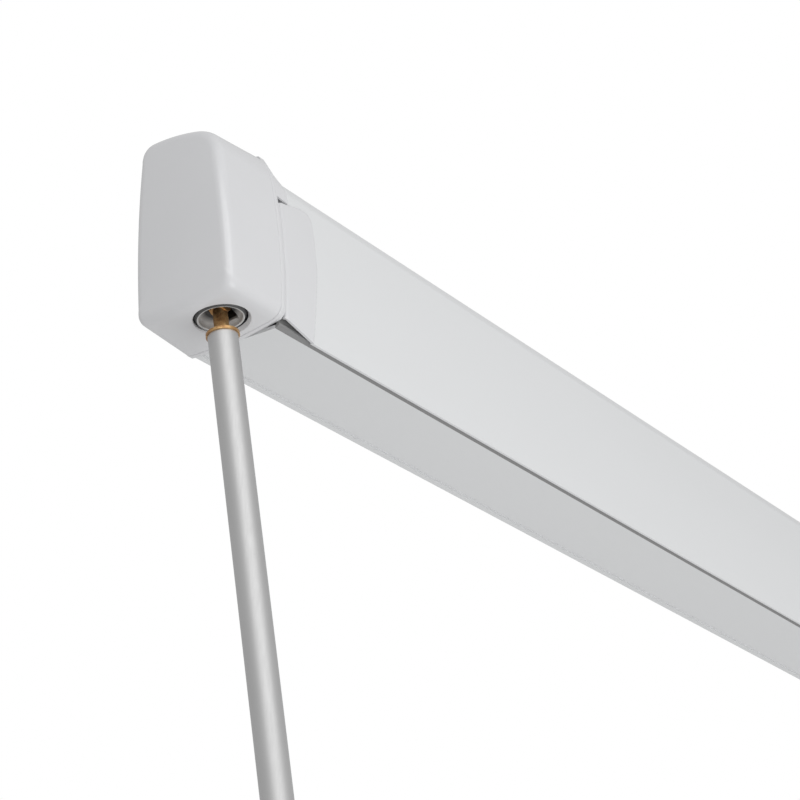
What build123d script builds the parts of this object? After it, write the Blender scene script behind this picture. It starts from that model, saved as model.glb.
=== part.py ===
from build123d import *
import os
from math import atan2, cos, hypot, pi, radians, sin, sqrt

os.makedirs("parts", exist_ok=True)

# A roll out awning for the side wall of a caravan or camper, closed, with its crank hooked in.
# All sizes are in millimetres. The wall is the plane Y = 0 and the awning stands out to -Y.
# X runs along the awning, Z is up, and the origin is the middle of the centre wall bracket.

# Driving sizes of the whole awning
length = 2594.0
depth = 80.0
projection = 2000.0
cap_width = 58.0
gear_teeth = 36
pinion_teeth = 9

# Clearances and overruns shared by all pieces
running = 0.05
seat_gap = 0.3
loose = 0.4
overrun = 5.0

# Places along X, counted out from the middle
half_length = length / 2
seam_x = half_length - cap_width
plate_width = 5.5
profile_half = seam_x - plate_width
rail_gap = 2.0
rail_end = profile_half - rail_gap
rail_cap_width = 30.0
rail_half = rail_end - rail_cap_width

# Section of the end caps: shares of the depth and of the height, from the wall and from mid height
cap_front_shares = ((0.991, -0.4), (0.946, 0.031), (0.828, 0.438))
cap_top_shares = ((0.715, 0.502), (0.45, 0.535), (0.0, 0.54))
cap_bottom_shares = ((0.94, -0.43), (0.475, -0.472), (0.0, -0.465))
seam_top_shares = ((0.72, 0.55), (0.45, 0.583), (0.0, 0.58))
seam_bottom_shares = ((0.94, -0.436), (0.475, -0.492), (0.0, -0.512))
cap_wall = 2.5
cap_edge_radius = 6.0
cap_dome_radius = 620.0
cap_dome_rise = 20.0
corner_radius = 6.0

# Section of the cassette and of the lead rail, shares as above
rail_front_shares = ((0.956, -0.38), (0.918, 0.01), (0.825, 0.36))
rail_crown_shares = ((0.825, 0.36), (0.765, 0.424), (0.66, 0.477))
rail_foot_share = 0.473
rail_skin = 2.0
bracket_thickness = 3.0
cassette_wall = 2.5
cassette_top_share = 0.474
cassette_bottom_share = 0.486
cassette_front_share = 0.468
top_reach = 51.5
bottom_reach = 70.0
rear_lip = 5.0
rear_lip_drop = 1.6

# Roller and cloth
roller_y = -35.0
roller_radius = 22.0
roller_wall = 1.5
roller_end_gap = 12.0
roller_half = profile_half - roller_end_gap
cloth_thickness = 0.5
cloth_margin = 8.0
cloth_half_width = roller_half - cloth_margin
cloth_spare = 60.0
cloth_on_roller = projection + cloth_spare
roll_radius = sqrt(roller_radius**2 + cloth_on_roller * cloth_thickness / pi)

# Height of the section, stacked from what lies in it: roof, cloth roll, folding arms and floor
roof_space = 9.0
roll_to_arms = 20.5
arm_height = 26.0
floor_space = 14.5
height = roof_space + 2 * roll_radius + roll_to_arms + arm_height + floor_space
roller_z = height / 2 - roof_space - roll_radius
upper_arm_z = floor_space + arm_height / 2 - height / 2

# Folding arms. The arms lie in one plane that slopes down as it leaves the wall.
arm_slope = 6.0
upper_arm_y = -19.0
arm_pitch = 24.0
arm_width = 20.0
arm_wall = 1.8
shoulder_inset = 28.5
shoulder_x = profile_half - shoulder_inset
elbow_x = 85.0
knuckle_radius = 10.0
tongue_thickness = 14.0
ear_thickness = 5.0
pin_radius = 4.0
pin_head_radius = 6.0
pin_head = 1.5
knuckle_reach = 20.0
spigot_length = 24.0
elbow_reach = 27.0

# Support legs, stowed inside the lead rail
leg_y = -63.4
leg_over_arms = 15.0
leg_z = upper_arm_z + arm_height / 2 + leg_over_arms
leg_pivot_inset = 25.0
leg_pivot_x = shoulder_x - leg_pivot_inset
leg_middle_gap = 180.0
leg_stowed = leg_pivot_x - leg_middle_gap
leg_radius = 7.5
leg_wall = 1.2
leg_pin_radius = 4.0

# Crank and its drive. The crank axis lies in a plane square to X and leans out from the wall.
crank_lean = 9.5
crank_inset = 33.0
crank_x = crank_inset - half_length
hole_radius = 18.0
floor_share = 0.47
floor_drop = (roller_z + floor_share * height) / cos(radians(crank_lean))
pivot_rise = 10.875
hook_reach = 12.625
pivot_drop = floor_drop - pivot_rise
tube_start = floor_drop + hook_reach
crank_tube_length = 1080.0
crank_tube_radius = 10.0
crank_tube_wall = 1.2
input_radius = 5.0


def section(share):
    """A point of the section, given as shares of the depth and the height."""
    return (-share[0] * depth, share[1] * height)


def finish(piece, label):
    """Name a finished piece and write it to its own file."""
    piece.part.label = label
    export_step(piece.part, f"parts/{label}.step")


def finish_pair(piece, name):
    """Write the left piece and its mirror image on the right."""
    finish(piece, f"left_{name}")
    with BuildPart() as right_piece:
        mirror(piece.part, about=Plane.YZ)
    finish(right_piece, f"right_{name}")


def finish_both(piece, label):
    """Write the left piece and its mirror image as one group."""
    with BuildPart() as both:
        add(piece.part)
        mirror(piece.part, about=Plane.YZ)
    finish(both, label)


def cap_face(top_shares, bottom_shares, inset):
    """An outline of the end caps, drawn in as far as inset, as a face of the YZ plane."""
    with BuildSketch() as face:
        with BuildLine():
            front = ThreePointArc(*[section(s) for s in cap_front_shares])
            top = ThreePointArc(*[section(s) for s in top_shares])
            bottom = ThreePointArc(*[section(s) for s in bottom_shares])
            Line(front @ 1, top @ 0)
            Line(top @ 1, bottom @ 1)
            Line(bottom @ 0, front @ 0)
        make_face()
        if inset:
            offset(amount=-inset, kind=Kind.INTERSECTION, mode=Mode.REPLACE)
    return face.sketch_local


# Wall brackets: flat plates against the wall, riveted to the back of the cassette
bracket_width = 90.0
bracket_low_inset = 23.5
bracket_high_inset = 6.5
bracket_low = bracket_low_inset - height / 2
bracket_high = height / 2 - bracket_high_inset
bracket_centre = (bracket_low + bracket_high) / 2
hole_radius_wall = 3.3
hole_spacing = 60.0
hole_centre = 18.0
bracket_inset = 417.0
bracket_x = half_length - bracket_inset
bracket_places = ((-bracket_x, hole_centre), (0, hole_centre), (bracket_x, hole_centre))
rivet_radius = 2.0
rivet_spacing = 70.0
rivet_head_radius = 4.0
rivet_head = 1.2

with BuildPart() as wall_brackets:
    with BuildSketch(Plane.XZ):
        with Locations((-bracket_x, bracket_centre), (0, bracket_centre), (bracket_x, bracket_centre)):
            RectangleRounded(bracket_width, bracket_high - bracket_low, corner_radius)
        with Locations(*bracket_places):
            with GridLocations(0, hole_spacing, 1, 2):
                Circle(hole_radius_wall, mode=Mode.SUBTRACT)
            with Locations((0, -hole_spacing / 2)):
                with GridLocations(rivet_spacing, 0, 2, 1):
                    Circle(rivet_radius, mode=Mode.SUBTRACT)
    extrude(amount=bracket_thickness)
finish(wall_brackets, "wall_brackets")

# Cassette: one long aluminium profile, open to the front
back_y = -bracket_thickness
inner_back_y = back_y - cassette_wall
top_z = cassette_top_share * height
bottom_z = -cassette_bottom_share * height
front_bottom_z = -cassette_front_share * height
profile_rounding = 1.0

with BuildPart() as cassette_profile:
    with BuildSketch(Plane.YZ.offset(-profile_half)):
        with BuildLine():
            Polyline(
                (back_y, bottom_z - rear_lip_drop),
                (back_y, top_z),
                (-top_reach, top_z),
                (-top_reach, top_z - cassette_wall),
                (inner_back_y, top_z - cassette_wall),
                (inner_back_y, bottom_z + cassette_wall),
                (-bottom_reach, front_bottom_z + cassette_wall),
                (-bottom_reach, front_bottom_z),
                (back_y - rear_lip, bottom_z),
                (back_y - rear_lip, bottom_z - rear_lip_drop),
                close=True,
            )
        make_face()
    extrude(amount=2 * profile_half)
    # a small rounding on the long outer edges
    long_edges = cassette_profile.edges().filter_by(Axis.X)
    fillet(long_edges.group_by(Axis.Z)[-1].sort_by(Axis.Y)[0], profile_rounding)
    fillet(long_edges.sort_by(Axis.Y)[:2], profile_rounding)
    # holes for the wall bolts and the rivets, through the back wall
    with BuildSketch(Plane.XZ.offset(-inner_back_y + overrun)):
        with Locations(*bracket_places):
            with GridLocations(0, hole_spacing, 1, 2):
                Circle(hole_radius_wall)
            with Locations((0, -hole_spacing / 2)):
                with GridLocations(rivet_spacing, 0, 2, 1):
                    Circle(rivet_radius)
    extrude(amount=-cassette_wall - 2 * overrun, mode=Mode.SUBTRACT)
finish(cassette_profile, "cassette_profile")

# Rivets that hold the brackets to the cassette's back wall
with BuildPart() as bracket_rivets:
    for plane, radius, amount in (
        (Plane.XZ, rivet_radius, -inner_back_y),
        (Plane.XZ.offset(-inner_back_y), rivet_head_radius, rivet_head),
    ):
        with BuildSketch(plane):
            with Locations(*bracket_places):
                with Locations((0, -hole_spacing / 2)):
                    with GridLocations(rivet_spacing, 0, 2, 1):
                        Circle(radius)
        extrude(amount=amount)
finish(bracket_rivets, "bracket_rivets")

# Dark lip seal along the front edge of the cassette's floor
seal_gap = 0.7
seal_height = 2.6
seal_reach = 3.2
seal_top_z = front_bottom_z + cassette_wall

with BuildPart() as seal_strip:
    with BuildSketch(Plane.YZ.offset(-profile_half)):
        with BuildLine():
            Polyline(
                (-bottom_reach, seal_top_z - seal_height),
                (-bottom_reach, seal_top_z),
                (-bottom_reach - seal_reach / 2, seal_top_z + seal_gap),
                (-bottom_reach - seal_reach, seal_top_z + seal_gap),
                (-bottom_reach - seal_reach, seal_top_z - seal_gap),
                close=True,
            )
        make_face()
    extrude(amount=2 * profile_half)
finish(seal_strip, "seal_strip")

cap_outline = cap_face(cap_top_shares, cap_bottom_shares, 0)
cap_room = cap_face(cap_top_shares, cap_bottom_shares, cap_wall)
seam_outline = cap_face(seam_top_shares, seam_bottom_shares, 0)
seam_room = cap_face(seam_top_shares, seam_bottom_shares, cap_wall)
plate_inset = 1.2
plate_outline = cap_face(seam_top_shares, seam_bottom_shares, plate_inset)

# End plates: they close the cassette, carry the roller and show as a thin rim beside the caps
drive_bore = 8.0
bush_wall = 2.0

cap_screw_radius = 2.0
boss_wall = 2.0
boss_y = -13.0
boss_high_inset = 17.5
boss_low_inset = 13.5
boss_places = ((boss_y, height / 2 - boss_high_inset), (boss_y, boss_low_inset - height / 2))

with BuildPart() as end_plate:
    with BuildSketch(Plane.YZ.offset(-seam_x)):
        add(plate_outline)
        with Locations((roller_y, roller_z)):
            Circle(drive_bore + bush_wall, mode=Mode.SUBTRACT)
        with Locations(*boss_places):
            Circle(cap_screw_radius, mode=Mode.SUBTRACT)
    extrude(amount=plate_width)
finish_pair(end_plate, "end_plate")

# Roller bushes: flanged plastic rings in the end plates
bush_flange = 2.0
bush_flange_radius = 14.0

with BuildPart() as roller_bushes:
    with BuildSketch(Plane.YZ.offset(-seam_x)):
        with Locations((roller_y, roller_z)):
            Circle(drive_bore + bush_wall)
            Circle(drive_bore, mode=Mode.SUBTRACT)
    extrude(amount=plate_width)
    with BuildSketch(Plane.YZ.offset(-profile_half)):
        with Locations((roller_y, roller_z)):
            Circle(bush_flange_radius)
            Circle(drive_bore, mode=Mode.SUBTRACT)
    extrude(amount=bush_flange)
finish_both(roller_bushes, "roller_bushes")

# Crank axis and what is placed along it
crank_axis_up = (0, sin(radians(crank_lean)), cos(radians(crank_lean)))
gear_centre = (crank_x, roller_y, roller_z)


def crank_plane(drop):
    """The plane square to the crank axis, this far below the roller's axis, facing down the crank."""
    origin = tuple(c - drop * u for c, u in zip(gear_centre, crank_axis_up))
    return Plane(origin=origin, x_dir=(1, 0, 0), z_dir=tuple(-u for u in crank_axis_up))


# End caps: moulded shells with a domed end and well rounded edges
cap_end_wall = 9.5

with BuildPart() as cap_shell:
    with BuildSketch(Plane.YZ.offset(-half_length)):
        add(cap_outline)
    with BuildSketch(Plane.YZ.offset(-seam_x)):
        add(seam_outline)
    loft(ruled=True)
    dome_centre = (cap_dome_radius - half_length, -depth / 2, cap_dome_rise)
    with Locations(dome_centre):
        Sphere(cap_dome_radius, mode=Mode.INTERSECT)
    rim = cap_shell.faces().sort_by(Axis.X)[0].edges()
    fillet(rim, cap_edge_radius)
    with BuildSketch(Plane.YZ.offset(-half_length + cap_end_wall)):
        add(cap_room)
    with BuildSketch(Plane.YZ.offset(-seam_x)):
        add(seam_room)
    loft(ruled=True, mode=Mode.SUBTRACT)
    with BuildSketch(Plane.YZ.offset(-half_length + cap_end_wall / 2)):
        with Locations(*boss_places):
            Circle(cap_screw_radius + boss_wall)
    extrude(amount=cap_width - cap_end_wall / 2)
    with BuildSketch(Plane.YZ.offset(-half_length + cap_end_wall)):
        with Locations(*boss_places):
            Circle(cap_screw_radius)
    extrude(amount=cap_width, mode=Mode.SUBTRACT)

# Left cap: the same shell with a hole for the crank, square to the crank axis
with BuildPart() as left_cap:
    add(cap_shell.part)
    with BuildSketch(crank_plane(pivot_drop)):
        Circle(hole_radius)
    extrude(amount=4 * overrun, mode=Mode.SUBTRACT)
finish(left_cap, "left_end_cap")

with BuildPart() as right_cap:
    mirror(cap_shell.part, about=Plane.YZ)
finish(right_cap, "right_end_cap")

# Cap screws: through the end plates into the bosses of the caps
cap_screw_length = 18.0
with BuildPart() as cap_screws:
    with BuildSketch(Plane.YZ.offset(-profile_half - cap_screw_length)):
        with Locations(*boss_places):
            Circle(cap_screw_radius)
    extrude(amount=cap_screw_length)
    with BuildSketch(Plane.YZ.offset(-profile_half)):
        with Locations(*boss_places):
            Circle(2 * cap_screw_radius)
    extrude(amount=cap_screw_radius)
finish_both(cap_screws, "cap_screws")

# Bevel gears: straight teeth that taper to the point where the two axes cross
gear_module = 1.3333
wheel_radius = gear_module * gear_teeth / 2
pinion_radius = gear_module * pinion_teeth / 2
cone_length = hypot(wheel_radius, pinion_radius)
face_width = 8.0
addendum = 1.1
dedendum = 1.35
tooth_root = 1.9
tooth_tip = 0.9
root_angle = atan2(dedendum, cone_length)
wheel_angle = atan2(wheel_radius, pinion_radius)
pinion_angle = atan2(pinion_radius, wheel_radius)
wheel_disc = 4.0
hub_radius = 9.5
spindle_radius = 5.0
wheel_gap = 2.0
wheel_back = -crank_x - seam_x - wheel_gap
gear_point = Vector(*gear_centre)
along_x = Vector(1, 0, 0)
down_crank = Vector(*crank_axis_up) * -1


def bevel_tooth(axis, radial, pitch_angle):
    """One tapered tooth on the cone around axis, on the side of radial."""
    element = axis * cos(pitch_angle) + radial * sin(pitch_angle)
    normal = radial * cos(pitch_angle) - axis * sin(pitch_angle)
    faces = []
    for distance in (cone_length, cone_length - face_width):
        share = distance / cone_length
        plane = Plane(gear_point + element * distance, x_dir=normal.cross(element), z_dir=element)
        with BuildSketch(plane, mode=Mode.PRIVATE) as outline:
            with BuildLine():
                Polyline(
                    (-tooth_root * share / 2, -2 * dedendum * share),
                    (-tooth_root * share / 2, -dedendum * share),
                    (-tooth_tip * share / 2, addendum * share),
                    (tooth_tip * share / 2, addendum * share),
                    (tooth_root * share / 2, -dedendum * share),
                    (tooth_root * share / 2, -2 * dedendum * share),
                    close=True,
                )
            make_face()
        faces.append(outline.sketch.face())
    return Solid.make_loft([face.outer_wire() for face in faces], ruled=True)


def cone_points(angle):
    """Radius and distance along the axis at the outer and inner ends of a gear's root cone."""
    outer, inner = cone_length, cone_length - face_width
    return [(s * sin(angle - root_angle), s * cos(angle - root_angle)) for s in (outer, inner)]


wheel_outer, wheel_inner = cone_points(wheel_angle)
with BuildPart() as bevel_wheel:
    with BuildSketch(Plane(gear_point, x_dir=(0, 1, 0), z_dir=(0, 0, -1))):
        with BuildLine():
            Polyline(
                (spindle_radius, wheel_inner[1]),
                wheel_inner,
                wheel_outer,
                (wheel_outer[0], wheel_outer[1] + wheel_disc),
                (hub_radius, wheel_outer[1] + wheel_disc),
                (hub_radius, wheel_back),
                (spindle_radius, wheel_back),
                close=True,
            )
        make_face()
    revolve(axis=Axis(gear_point, along_x))
    first_wheel_tooth = bevel_tooth(along_x, down_crank, wheel_angle)
    for number in range(gear_teeth):
        turn = 360 * (number + 0.5) / gear_teeth
        add(first_wheel_tooth.rotate(Axis(gear_point, along_x), turn))
finish(bevel_wheel, "bevel_wheel")

# Pinion and its shaft, which runs down to the fork
fork_top = 53.0
fork_bar = 6.0
pinion_outer, pinion_inner = cone_points(pinion_angle)
with BuildPart() as bevel_pinion:
    with BuildSketch(Plane(gear_point, x_dir=(1, 0, 0), z_dir=(0, crank_axis_up[2], -crank_axis_up[1]))):
        with BuildLine():
            Polyline(
                (0, pinion_inner[1]),
                pinion_inner,
                pinion_outer,
                (input_radius, pinion_outer[1]),
                (input_radius, fork_top + fork_bar),
                (0, fork_top + fork_bar),
                close=True,
            )
        make_face()
    revolve(axis=Axis(gear_point, down_crank))
    first_pinion_tooth = bevel_tooth(down_crank, along_x, pinion_angle)
    for number in range(pinion_teeth):
        add(first_pinion_tooth.rotate(Axis(gear_point, down_crank), 360 * number / pinion_teeth))
finish(bevel_pinion, "bevel_pinion")

# Gear housing: a base on the end plate, and an arm with the bore for the input bush
housing_base = 3.6
housing_drop = 48.0
housing_rise = 26.0
housing_low = roller_z - housing_drop
housing_high = roller_z + housing_rise
housing_half_width = 17.5
housing_window = 12.5
boss_top = 31.0
boss_bottom = 45.0
boss_radius = 10.0
input_bush_radius = 7.0

with BuildPart() as gear_housing:
    with BuildSketch(Plane.YZ.offset(-seam_x - housing_base)):
        with Locations((roller_y, (housing_low + housing_high) / 2)):
            RectangleRounded(2 * housing_half_width, housing_high - housing_low, corner_radius)
        with Locations((roller_y, roller_z)):
            Circle(housing_window, mode=Mode.SUBTRACT)
    extrude(amount=housing_base)
    with BuildSketch(crank_plane(boss_top)):
        Circle(boss_radius)
        with Locations(((-crank_x - seam_x - housing_base / 2) / 2, 0)):
            Rectangle(-crank_x - seam_x - housing_base / 2, 2 * boss_radius)
    extrude(amount=boss_bottom - boss_top)
    with BuildSketch(crank_plane(boss_top - overrun)):
        Circle(input_bush_radius)
    extrude(amount=boss_bottom - boss_top + 2 * overrun, mode=Mode.SUBTRACT)
finish(gear_housing, "gear_housing")

with BuildPart() as input_bush:
    with BuildSketch(crank_plane(boss_top)):
        Circle(input_bush_radius)
        Circle(input_radius + running, mode=Mode.SUBTRACT)
    extrude(amount=boss_bottom - boss_top)
    with BuildSketch(crank_plane(boss_bottom)):
        Circle(boss_radius)
        Circle(input_radius + running, mode=Mode.SUBTRACT)
    extrude(amount=bush_flange)
finish(input_bush, "input_bush")

# Swivel fork: a bar on the input shaft with two ears and the pins that carry the cup
ball_radius = 19.0
ear_gap = 0.4
ear_width = 11.0
fork_ear = 3.5
cup_top = 9.0
cup_face = 8.5
fork_pin_radius = 2.5
fork_pin_reach = 14.8
ear_inner = ball_radius + ear_gap
ear_outer = ear_inner + fork_ear

with BuildPart() as swivel_fork:
    with BuildSketch(crank_plane(fork_top)):
        RectangleRounded(2 * ear_outer, ear_width, ear_width / 4)
        Circle(input_radius, mode=Mode.SUBTRACT)
    extrude(amount=fork_bar)
    with BuildSketch(crank_plane(fork_top)):
        with Locations((-ear_outer + fork_ear / 2, 0), (ear_outer - fork_ear / 2, 0)):
            Rectangle(fork_ear, ear_width)
    extrude(amount=pivot_drop - fork_top + ear_width / 2)
    for side in (-1, 1):
        pin_start = crank_plane(pivot_drop).from_local_coords(Vector(side * fork_pin_reach, 0, 0))
        with BuildSketch(Plane(pin_start, x_dir=(0, 1, 0), z_dir=(side, 0, 0))):
            Circle(fork_pin_radius)
        extrude(amount=ear_inner - fork_pin_reach + fork_ear / 2)
finish(swivel_fork, "swivel_fork")

# Swivel cup: a ball zone that tilts in the fork, slotted for the hook of the crank
slot_half_length = 12.5
slot_width = 11.2
slot_top = 7.0
eye_radius = 6.0
eye_gap = 0.4
cross_pin_radius = 2.0

with BuildPart() as swivel_cup:
    with Locations(crank_plane(pivot_drop).location):
        Sphere(ball_radius)
        with Locations((0, 0, (cup_face - cup_top) / 2)):
            Box(2 * ball_radius, 2 * ball_radius, cup_top + cup_face, mode=Mode.INTERSECT)
        slot_depth = slot_top + cup_face + overrun
        with Locations((0, 0, slot_depth / 2 - slot_top)):
            Box(2 * slot_half_length, slot_width, slot_depth, mode=Mode.SUBTRACT)
        Cylinder(fork_pin_radius + running, 2 * ball_radius + overrun, rotation=(0, 90, 0), mode=Mode.SUBTRACT)
        Cylinder(cross_pin_radius, 2 * ball_radius, rotation=(90, 0, 0), mode=Mode.SUBTRACT)
finish(swivel_cup, "swivel_cup")

with BuildPart() as cross_pin:
    with Locations(crank_plane(pivot_drop).location):
        Cylinder(cross_pin_radius, 1.8 * ball_radius, rotation=(90, 0, 0))
finish(cross_pin, "cross_pin")

# Crank hook: a brass rod with an eye above, a collar on the tube and a spigot inside it
neck_radius = 4.8
neck_length = 10.0
rod_radius = 5.0
collar_radius = 11.0
collar_height = 2.0
hook_spigot = 30.0
tube_bore = crank_tube_radius - crank_tube_wall

with BuildPart() as crank_hook:
    with Locations(crank_plane(pivot_drop).location):
        Cylinder(eye_radius, slot_width - 2 * eye_gap, rotation=(90, 0, 0))
    with BuildSketch(crank_plane(pivot_drop)):
        Circle(neck_radius)
    extrude(amount=tube_start - pivot_drop)
    with Locations(crank_plane(pivot_drop).location):
        Cylinder(cross_pin_radius + running, 2 * ball_radius, rotation=(90, 0, 0), mode=Mode.SUBTRACT)
    with BuildSketch(crank_plane(pivot_drop + neck_length)):
        Circle(rod_radius)
    extrude(amount=tube_start - pivot_drop - neck_length)
    with BuildSketch(crank_plane(tube_start - collar_height)):
        Circle(collar_radius)
    extrude(amount=collar_height)
    with BuildSketch(crank_plane(tube_start)):
        Circle(tube_bore)
    extrude(amount=hook_spigot)
finish(crank_hook, "crank_hook")

with BuildPart() as crank_tube:
    with BuildSketch(crank_plane(tube_start)):
        Circle(crank_tube_radius)
        Circle(tube_bore, mode=Mode.SUBTRACT)
    extrude(amount=crank_tube_length)
finish(crank_tube, "crank_tube")

# Handle of the crank: a bent rod with a turning grip, and a guide sleeve up on the tube
handle_rod_radius = 6.0
handle_bend = 26.0
handle_drop = 55.0
handle_throw = 160.0
handle_grip_run = 150.0
handle_spigot = 40.0
grip_length = 112.0
grip_radius = 13.0
grip_cap_height = 5.0
grip_cap_radius = 9.5
sleeve_radius = 14.5
sleeve_length = 125.0
sleeve_start = 820.0
tube_end = tube_start + crank_tube_length
handle_plane = Plane(
    crank_plane(tube_end).origin,
    x_dir=(1, 0, 0),
    z_dir=(0, -crank_axis_up[2], crank_axis_up[1]),
)

with BuildPart() as crank_handle:
    with BuildSketch(crank_plane(tube_end - handle_spigot)):
        Circle(tube_bore)
    extrude(amount=handle_spigot)
    with BuildLine(handle_plane) as handle_path:
        FilletPolyline(
            (0, 0),
            (0, -handle_drop),
            (handle_throw, -handle_drop),
            (handle_throw, -handle_drop - handle_grip_run),
            radius=handle_bend,
        )
    with BuildSketch(crank_plane(tube_end)):
        Circle(handle_rod_radius)
    sweep(path=handle_path.wires()[0])
    with BuildSketch(crank_plane(tube_end + handle_drop + handle_grip_run)):
        with Locations((handle_throw, 0)):
            Circle(grip_cap_radius)
    extrude(amount=grip_cap_height)
finish(crank_handle, "crank_handle")

grip_start = tube_end + handle_drop + handle_grip_run - grip_length - seat_gap
with BuildPart() as crank_grip:
    with BuildSketch(crank_plane(grip_start)):
        with Locations((handle_throw, 0)):
            Circle(grip_radius)
            Circle(handle_rod_radius + running, mode=Mode.SUBTRACT)
    extrude(amount=grip_length)
    fillet(crank_grip.edges().filter_by(GeomType.CIRCLE).sort_by(SortBy.RADIUS)[-2:], grip_radius / 4)
finish(crank_grip, "crank_grip")

with BuildPart() as guide_sleeve:
    with BuildSketch(crank_plane(sleeve_start)):
        Circle(sleeve_radius)
        Circle(crank_tube_radius + running, mode=Mode.SUBTRACT)
    extrude(amount=sleeve_length)
    fillet(guide_sleeve.edges().filter_by(GeomType.CIRCLE).sort_by(SortBy.RADIUS)[-2:], sleeve_radius / 6)
finish(guide_sleeve, "guide_sleeve")

# Roller: tube, end plugs with their spindles, and the rolled cloth
roller_bore = roller_radius - roller_wall
plug_length = 30.0
spindle_end = wheel_back - crank_x
journal_radius = drive_bore - running

with BuildPart() as roller_tube:
    with BuildSketch(Plane.YZ.offset(-roller_half)):
        with Locations((roller_y, roller_z)):
            Circle(roller_radius)
            Circle(roller_bore, mode=Mode.SUBTRACT)
    extrude(amount=2 * roller_half)
finish(roller_tube, "roller_tube")

with BuildPart() as roller_plug:
    with BuildSketch(Plane.YZ.offset(-roller_half)):
        with Locations((roller_y, roller_z)):
            Circle(roller_bore)
    extrude(amount=plug_length)
    with BuildSketch(Plane.YZ.offset(-seam_x)):
        with Locations((roller_y, roller_z)):
            Circle(journal_radius)
    extrude(amount=seam_x - roller_half)

with BuildPart() as drive_plug:
    add(roller_plug.part)
    with BuildSketch(Plane.YZ.offset(crank_x + wheel_inner[1])):
        with Locations((roller_y, roller_z)):
            Circle(spindle_radius)
    extrude(amount=-seam_x - crank_x - wheel_inner[1])
finish(drive_plug, "drive_plug")

with BuildPart() as idle_plug:
    mirror(roller_plug.part, about=Plane.YZ)
finish(idle_plug, "idle_plug")

with BuildPart() as cloth_roll:
    with BuildSketch(Plane.YZ.offset(-cloth_half_width)):
        with Locations((roller_y, roller_z)):
            Circle(roll_radius)
            Circle(roller_radius, mode=Mode.SUBTRACT)
    extrude(amount=2 * cloth_half_width)
finish(cloth_roll, "cloth_roll")

# Arms, drawn in their own sloping plane: local X runs along the awning, local Y back to the wall
arm_normal = (0, -sin(radians(arm_slope)), cos(radians(arm_slope)))
arm_plane = Plane(origin=(0, upper_arm_y, upper_arm_z), x_dir=(1, 0, 0), z_dir=arm_normal)
shoulder = (-shoulder_x, 0)
elbow = (-elbow_x, -arm_pitch / 2)
wrist = (-shoulder_x, -arm_pitch)
ear_offset = tongue_thickness / 2 + seat_gap
stack = ear_offset + ear_thickness
tube_bore_width = arm_width - 2 * arm_wall
tube_bore_height = arm_height - 2 * arm_wall
pin_bore = pin_radius + running


def arm_tube(start, end, line):
    """A hollow arm profile between two places along X."""
    with BuildPart() as tube:
        with BuildSketch(arm_plane):
            with Locations(((start + end) / 2, line)):
                Rectangle(end - start, arm_width)
        extrude(amount=arm_height / 2, both=True)
        fillet(tube.edges().filter_by(Axis.X), arm_wall)
        with BuildSketch(arm_plane):
            with Locations(((start + end) / 2, line)):
                Rectangle(end - start + 2 * overrun, tube_bore_width)
        extrude(amount=tube_bore_height / 2, both=True, mode=Mode.SUBTRACT)
    return tube


def knuckle(place, line, tube_start_x):
    """An eye on its pin, with a neck and a spigot in the end of an arm tube."""
    away = 1 if tube_start_x > place[0] else -1
    with BuildPart() as part:
        with BuildSketch(arm_plane):
            with Locations(place):
                Circle(knuckle_radius)
            with Locations(((place[0] + tube_start_x) / 2, line)):
                Rectangle(abs(tube_start_x - place[0]), tube_bore_width)
            with Locations(place):
                Circle(pin_bore, mode=Mode.SUBTRACT)
        extrude(amount=tongue_thickness / 2, both=True)
        with BuildSketch(arm_plane):
            with Locations((tube_start_x + away * spigot_length / 2, line)):
                Rectangle(spigot_length, tube_bore_width)
        extrude(amount=tube_bore_height / 2, both=True)
    return part


def pins(places, radius):
    """Headed pins through ears and eyes."""
    with BuildPart() as part:
        with BuildSketch(arm_plane):
            with Locations(*places):
                Circle(radius)
        extrude(amount=stack + pin_head, both=True)
        for side in (-1, 1):
            with BuildSketch(arm_plane.offset(side * stack)):
                with Locations(*places):
                    Circle(pin_head_radius)
            extrude(amount=side * pin_head)
    return part


upper_start = -shoulder_x + knuckle_reach
upper_end = -elbow_x - elbow_reach
finish_pair(arm_tube(upper_start, upper_end, 0), "upper_arm")
finish_pair(arm_tube(upper_start, upper_end, -arm_pitch), "forearm")
finish_pair(knuckle(shoulder, 0, upper_start), "shoulder_knuckle")
finish_pair(knuckle(wrist, -arm_pitch, upper_start), "wrist_knuckle")
finish_pair(pins([elbow], pin_radius), "elbow_pin")
finish_both(pins([shoulder], pin_radius), "shoulder_pins")

# Elbow: a fork on the upper arm and a tongue on the forearm, both cranked in to the shared pin
neck_x = -elbow_x - elbow_reach
with BuildPart() as elbow_fork:
    with BuildSketch(arm_plane):
        with BuildLine():
            Polyline(
                (neck_x, -tube_bore_width / 2),
                (neck_x, tube_bore_width / 2),
                (elbow[0], elbow[1] + knuckle_radius),
                elbow,
                (neck_x, -tube_bore_width / 2),
            )
        make_face()
        with Locations(elbow):
            Circle(knuckle_radius)
            Circle(pin_radius, mode=Mode.SUBTRACT)
    extrude(amount=stack, both=True)
    with BuildSketch(arm_plane):
        with Locations(elbow):
            Circle(knuckle_radius + loose)
        with Locations((elbow[0], elbow[1] - knuckle_radius)):
            Rectangle(4 * knuckle_radius, 2 * knuckle_radius)
    extrude(amount=ear_offset, both=True, mode=Mode.SUBTRACT)
    with BuildSketch(arm_plane):
        with Locations((neck_x - spigot_length / 2, 0)):
            Rectangle(spigot_length, tube_bore_width)
    extrude(amount=tube_bore_height / 2, both=True)
finish_pair(elbow_fork, "elbow_fork")

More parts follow.
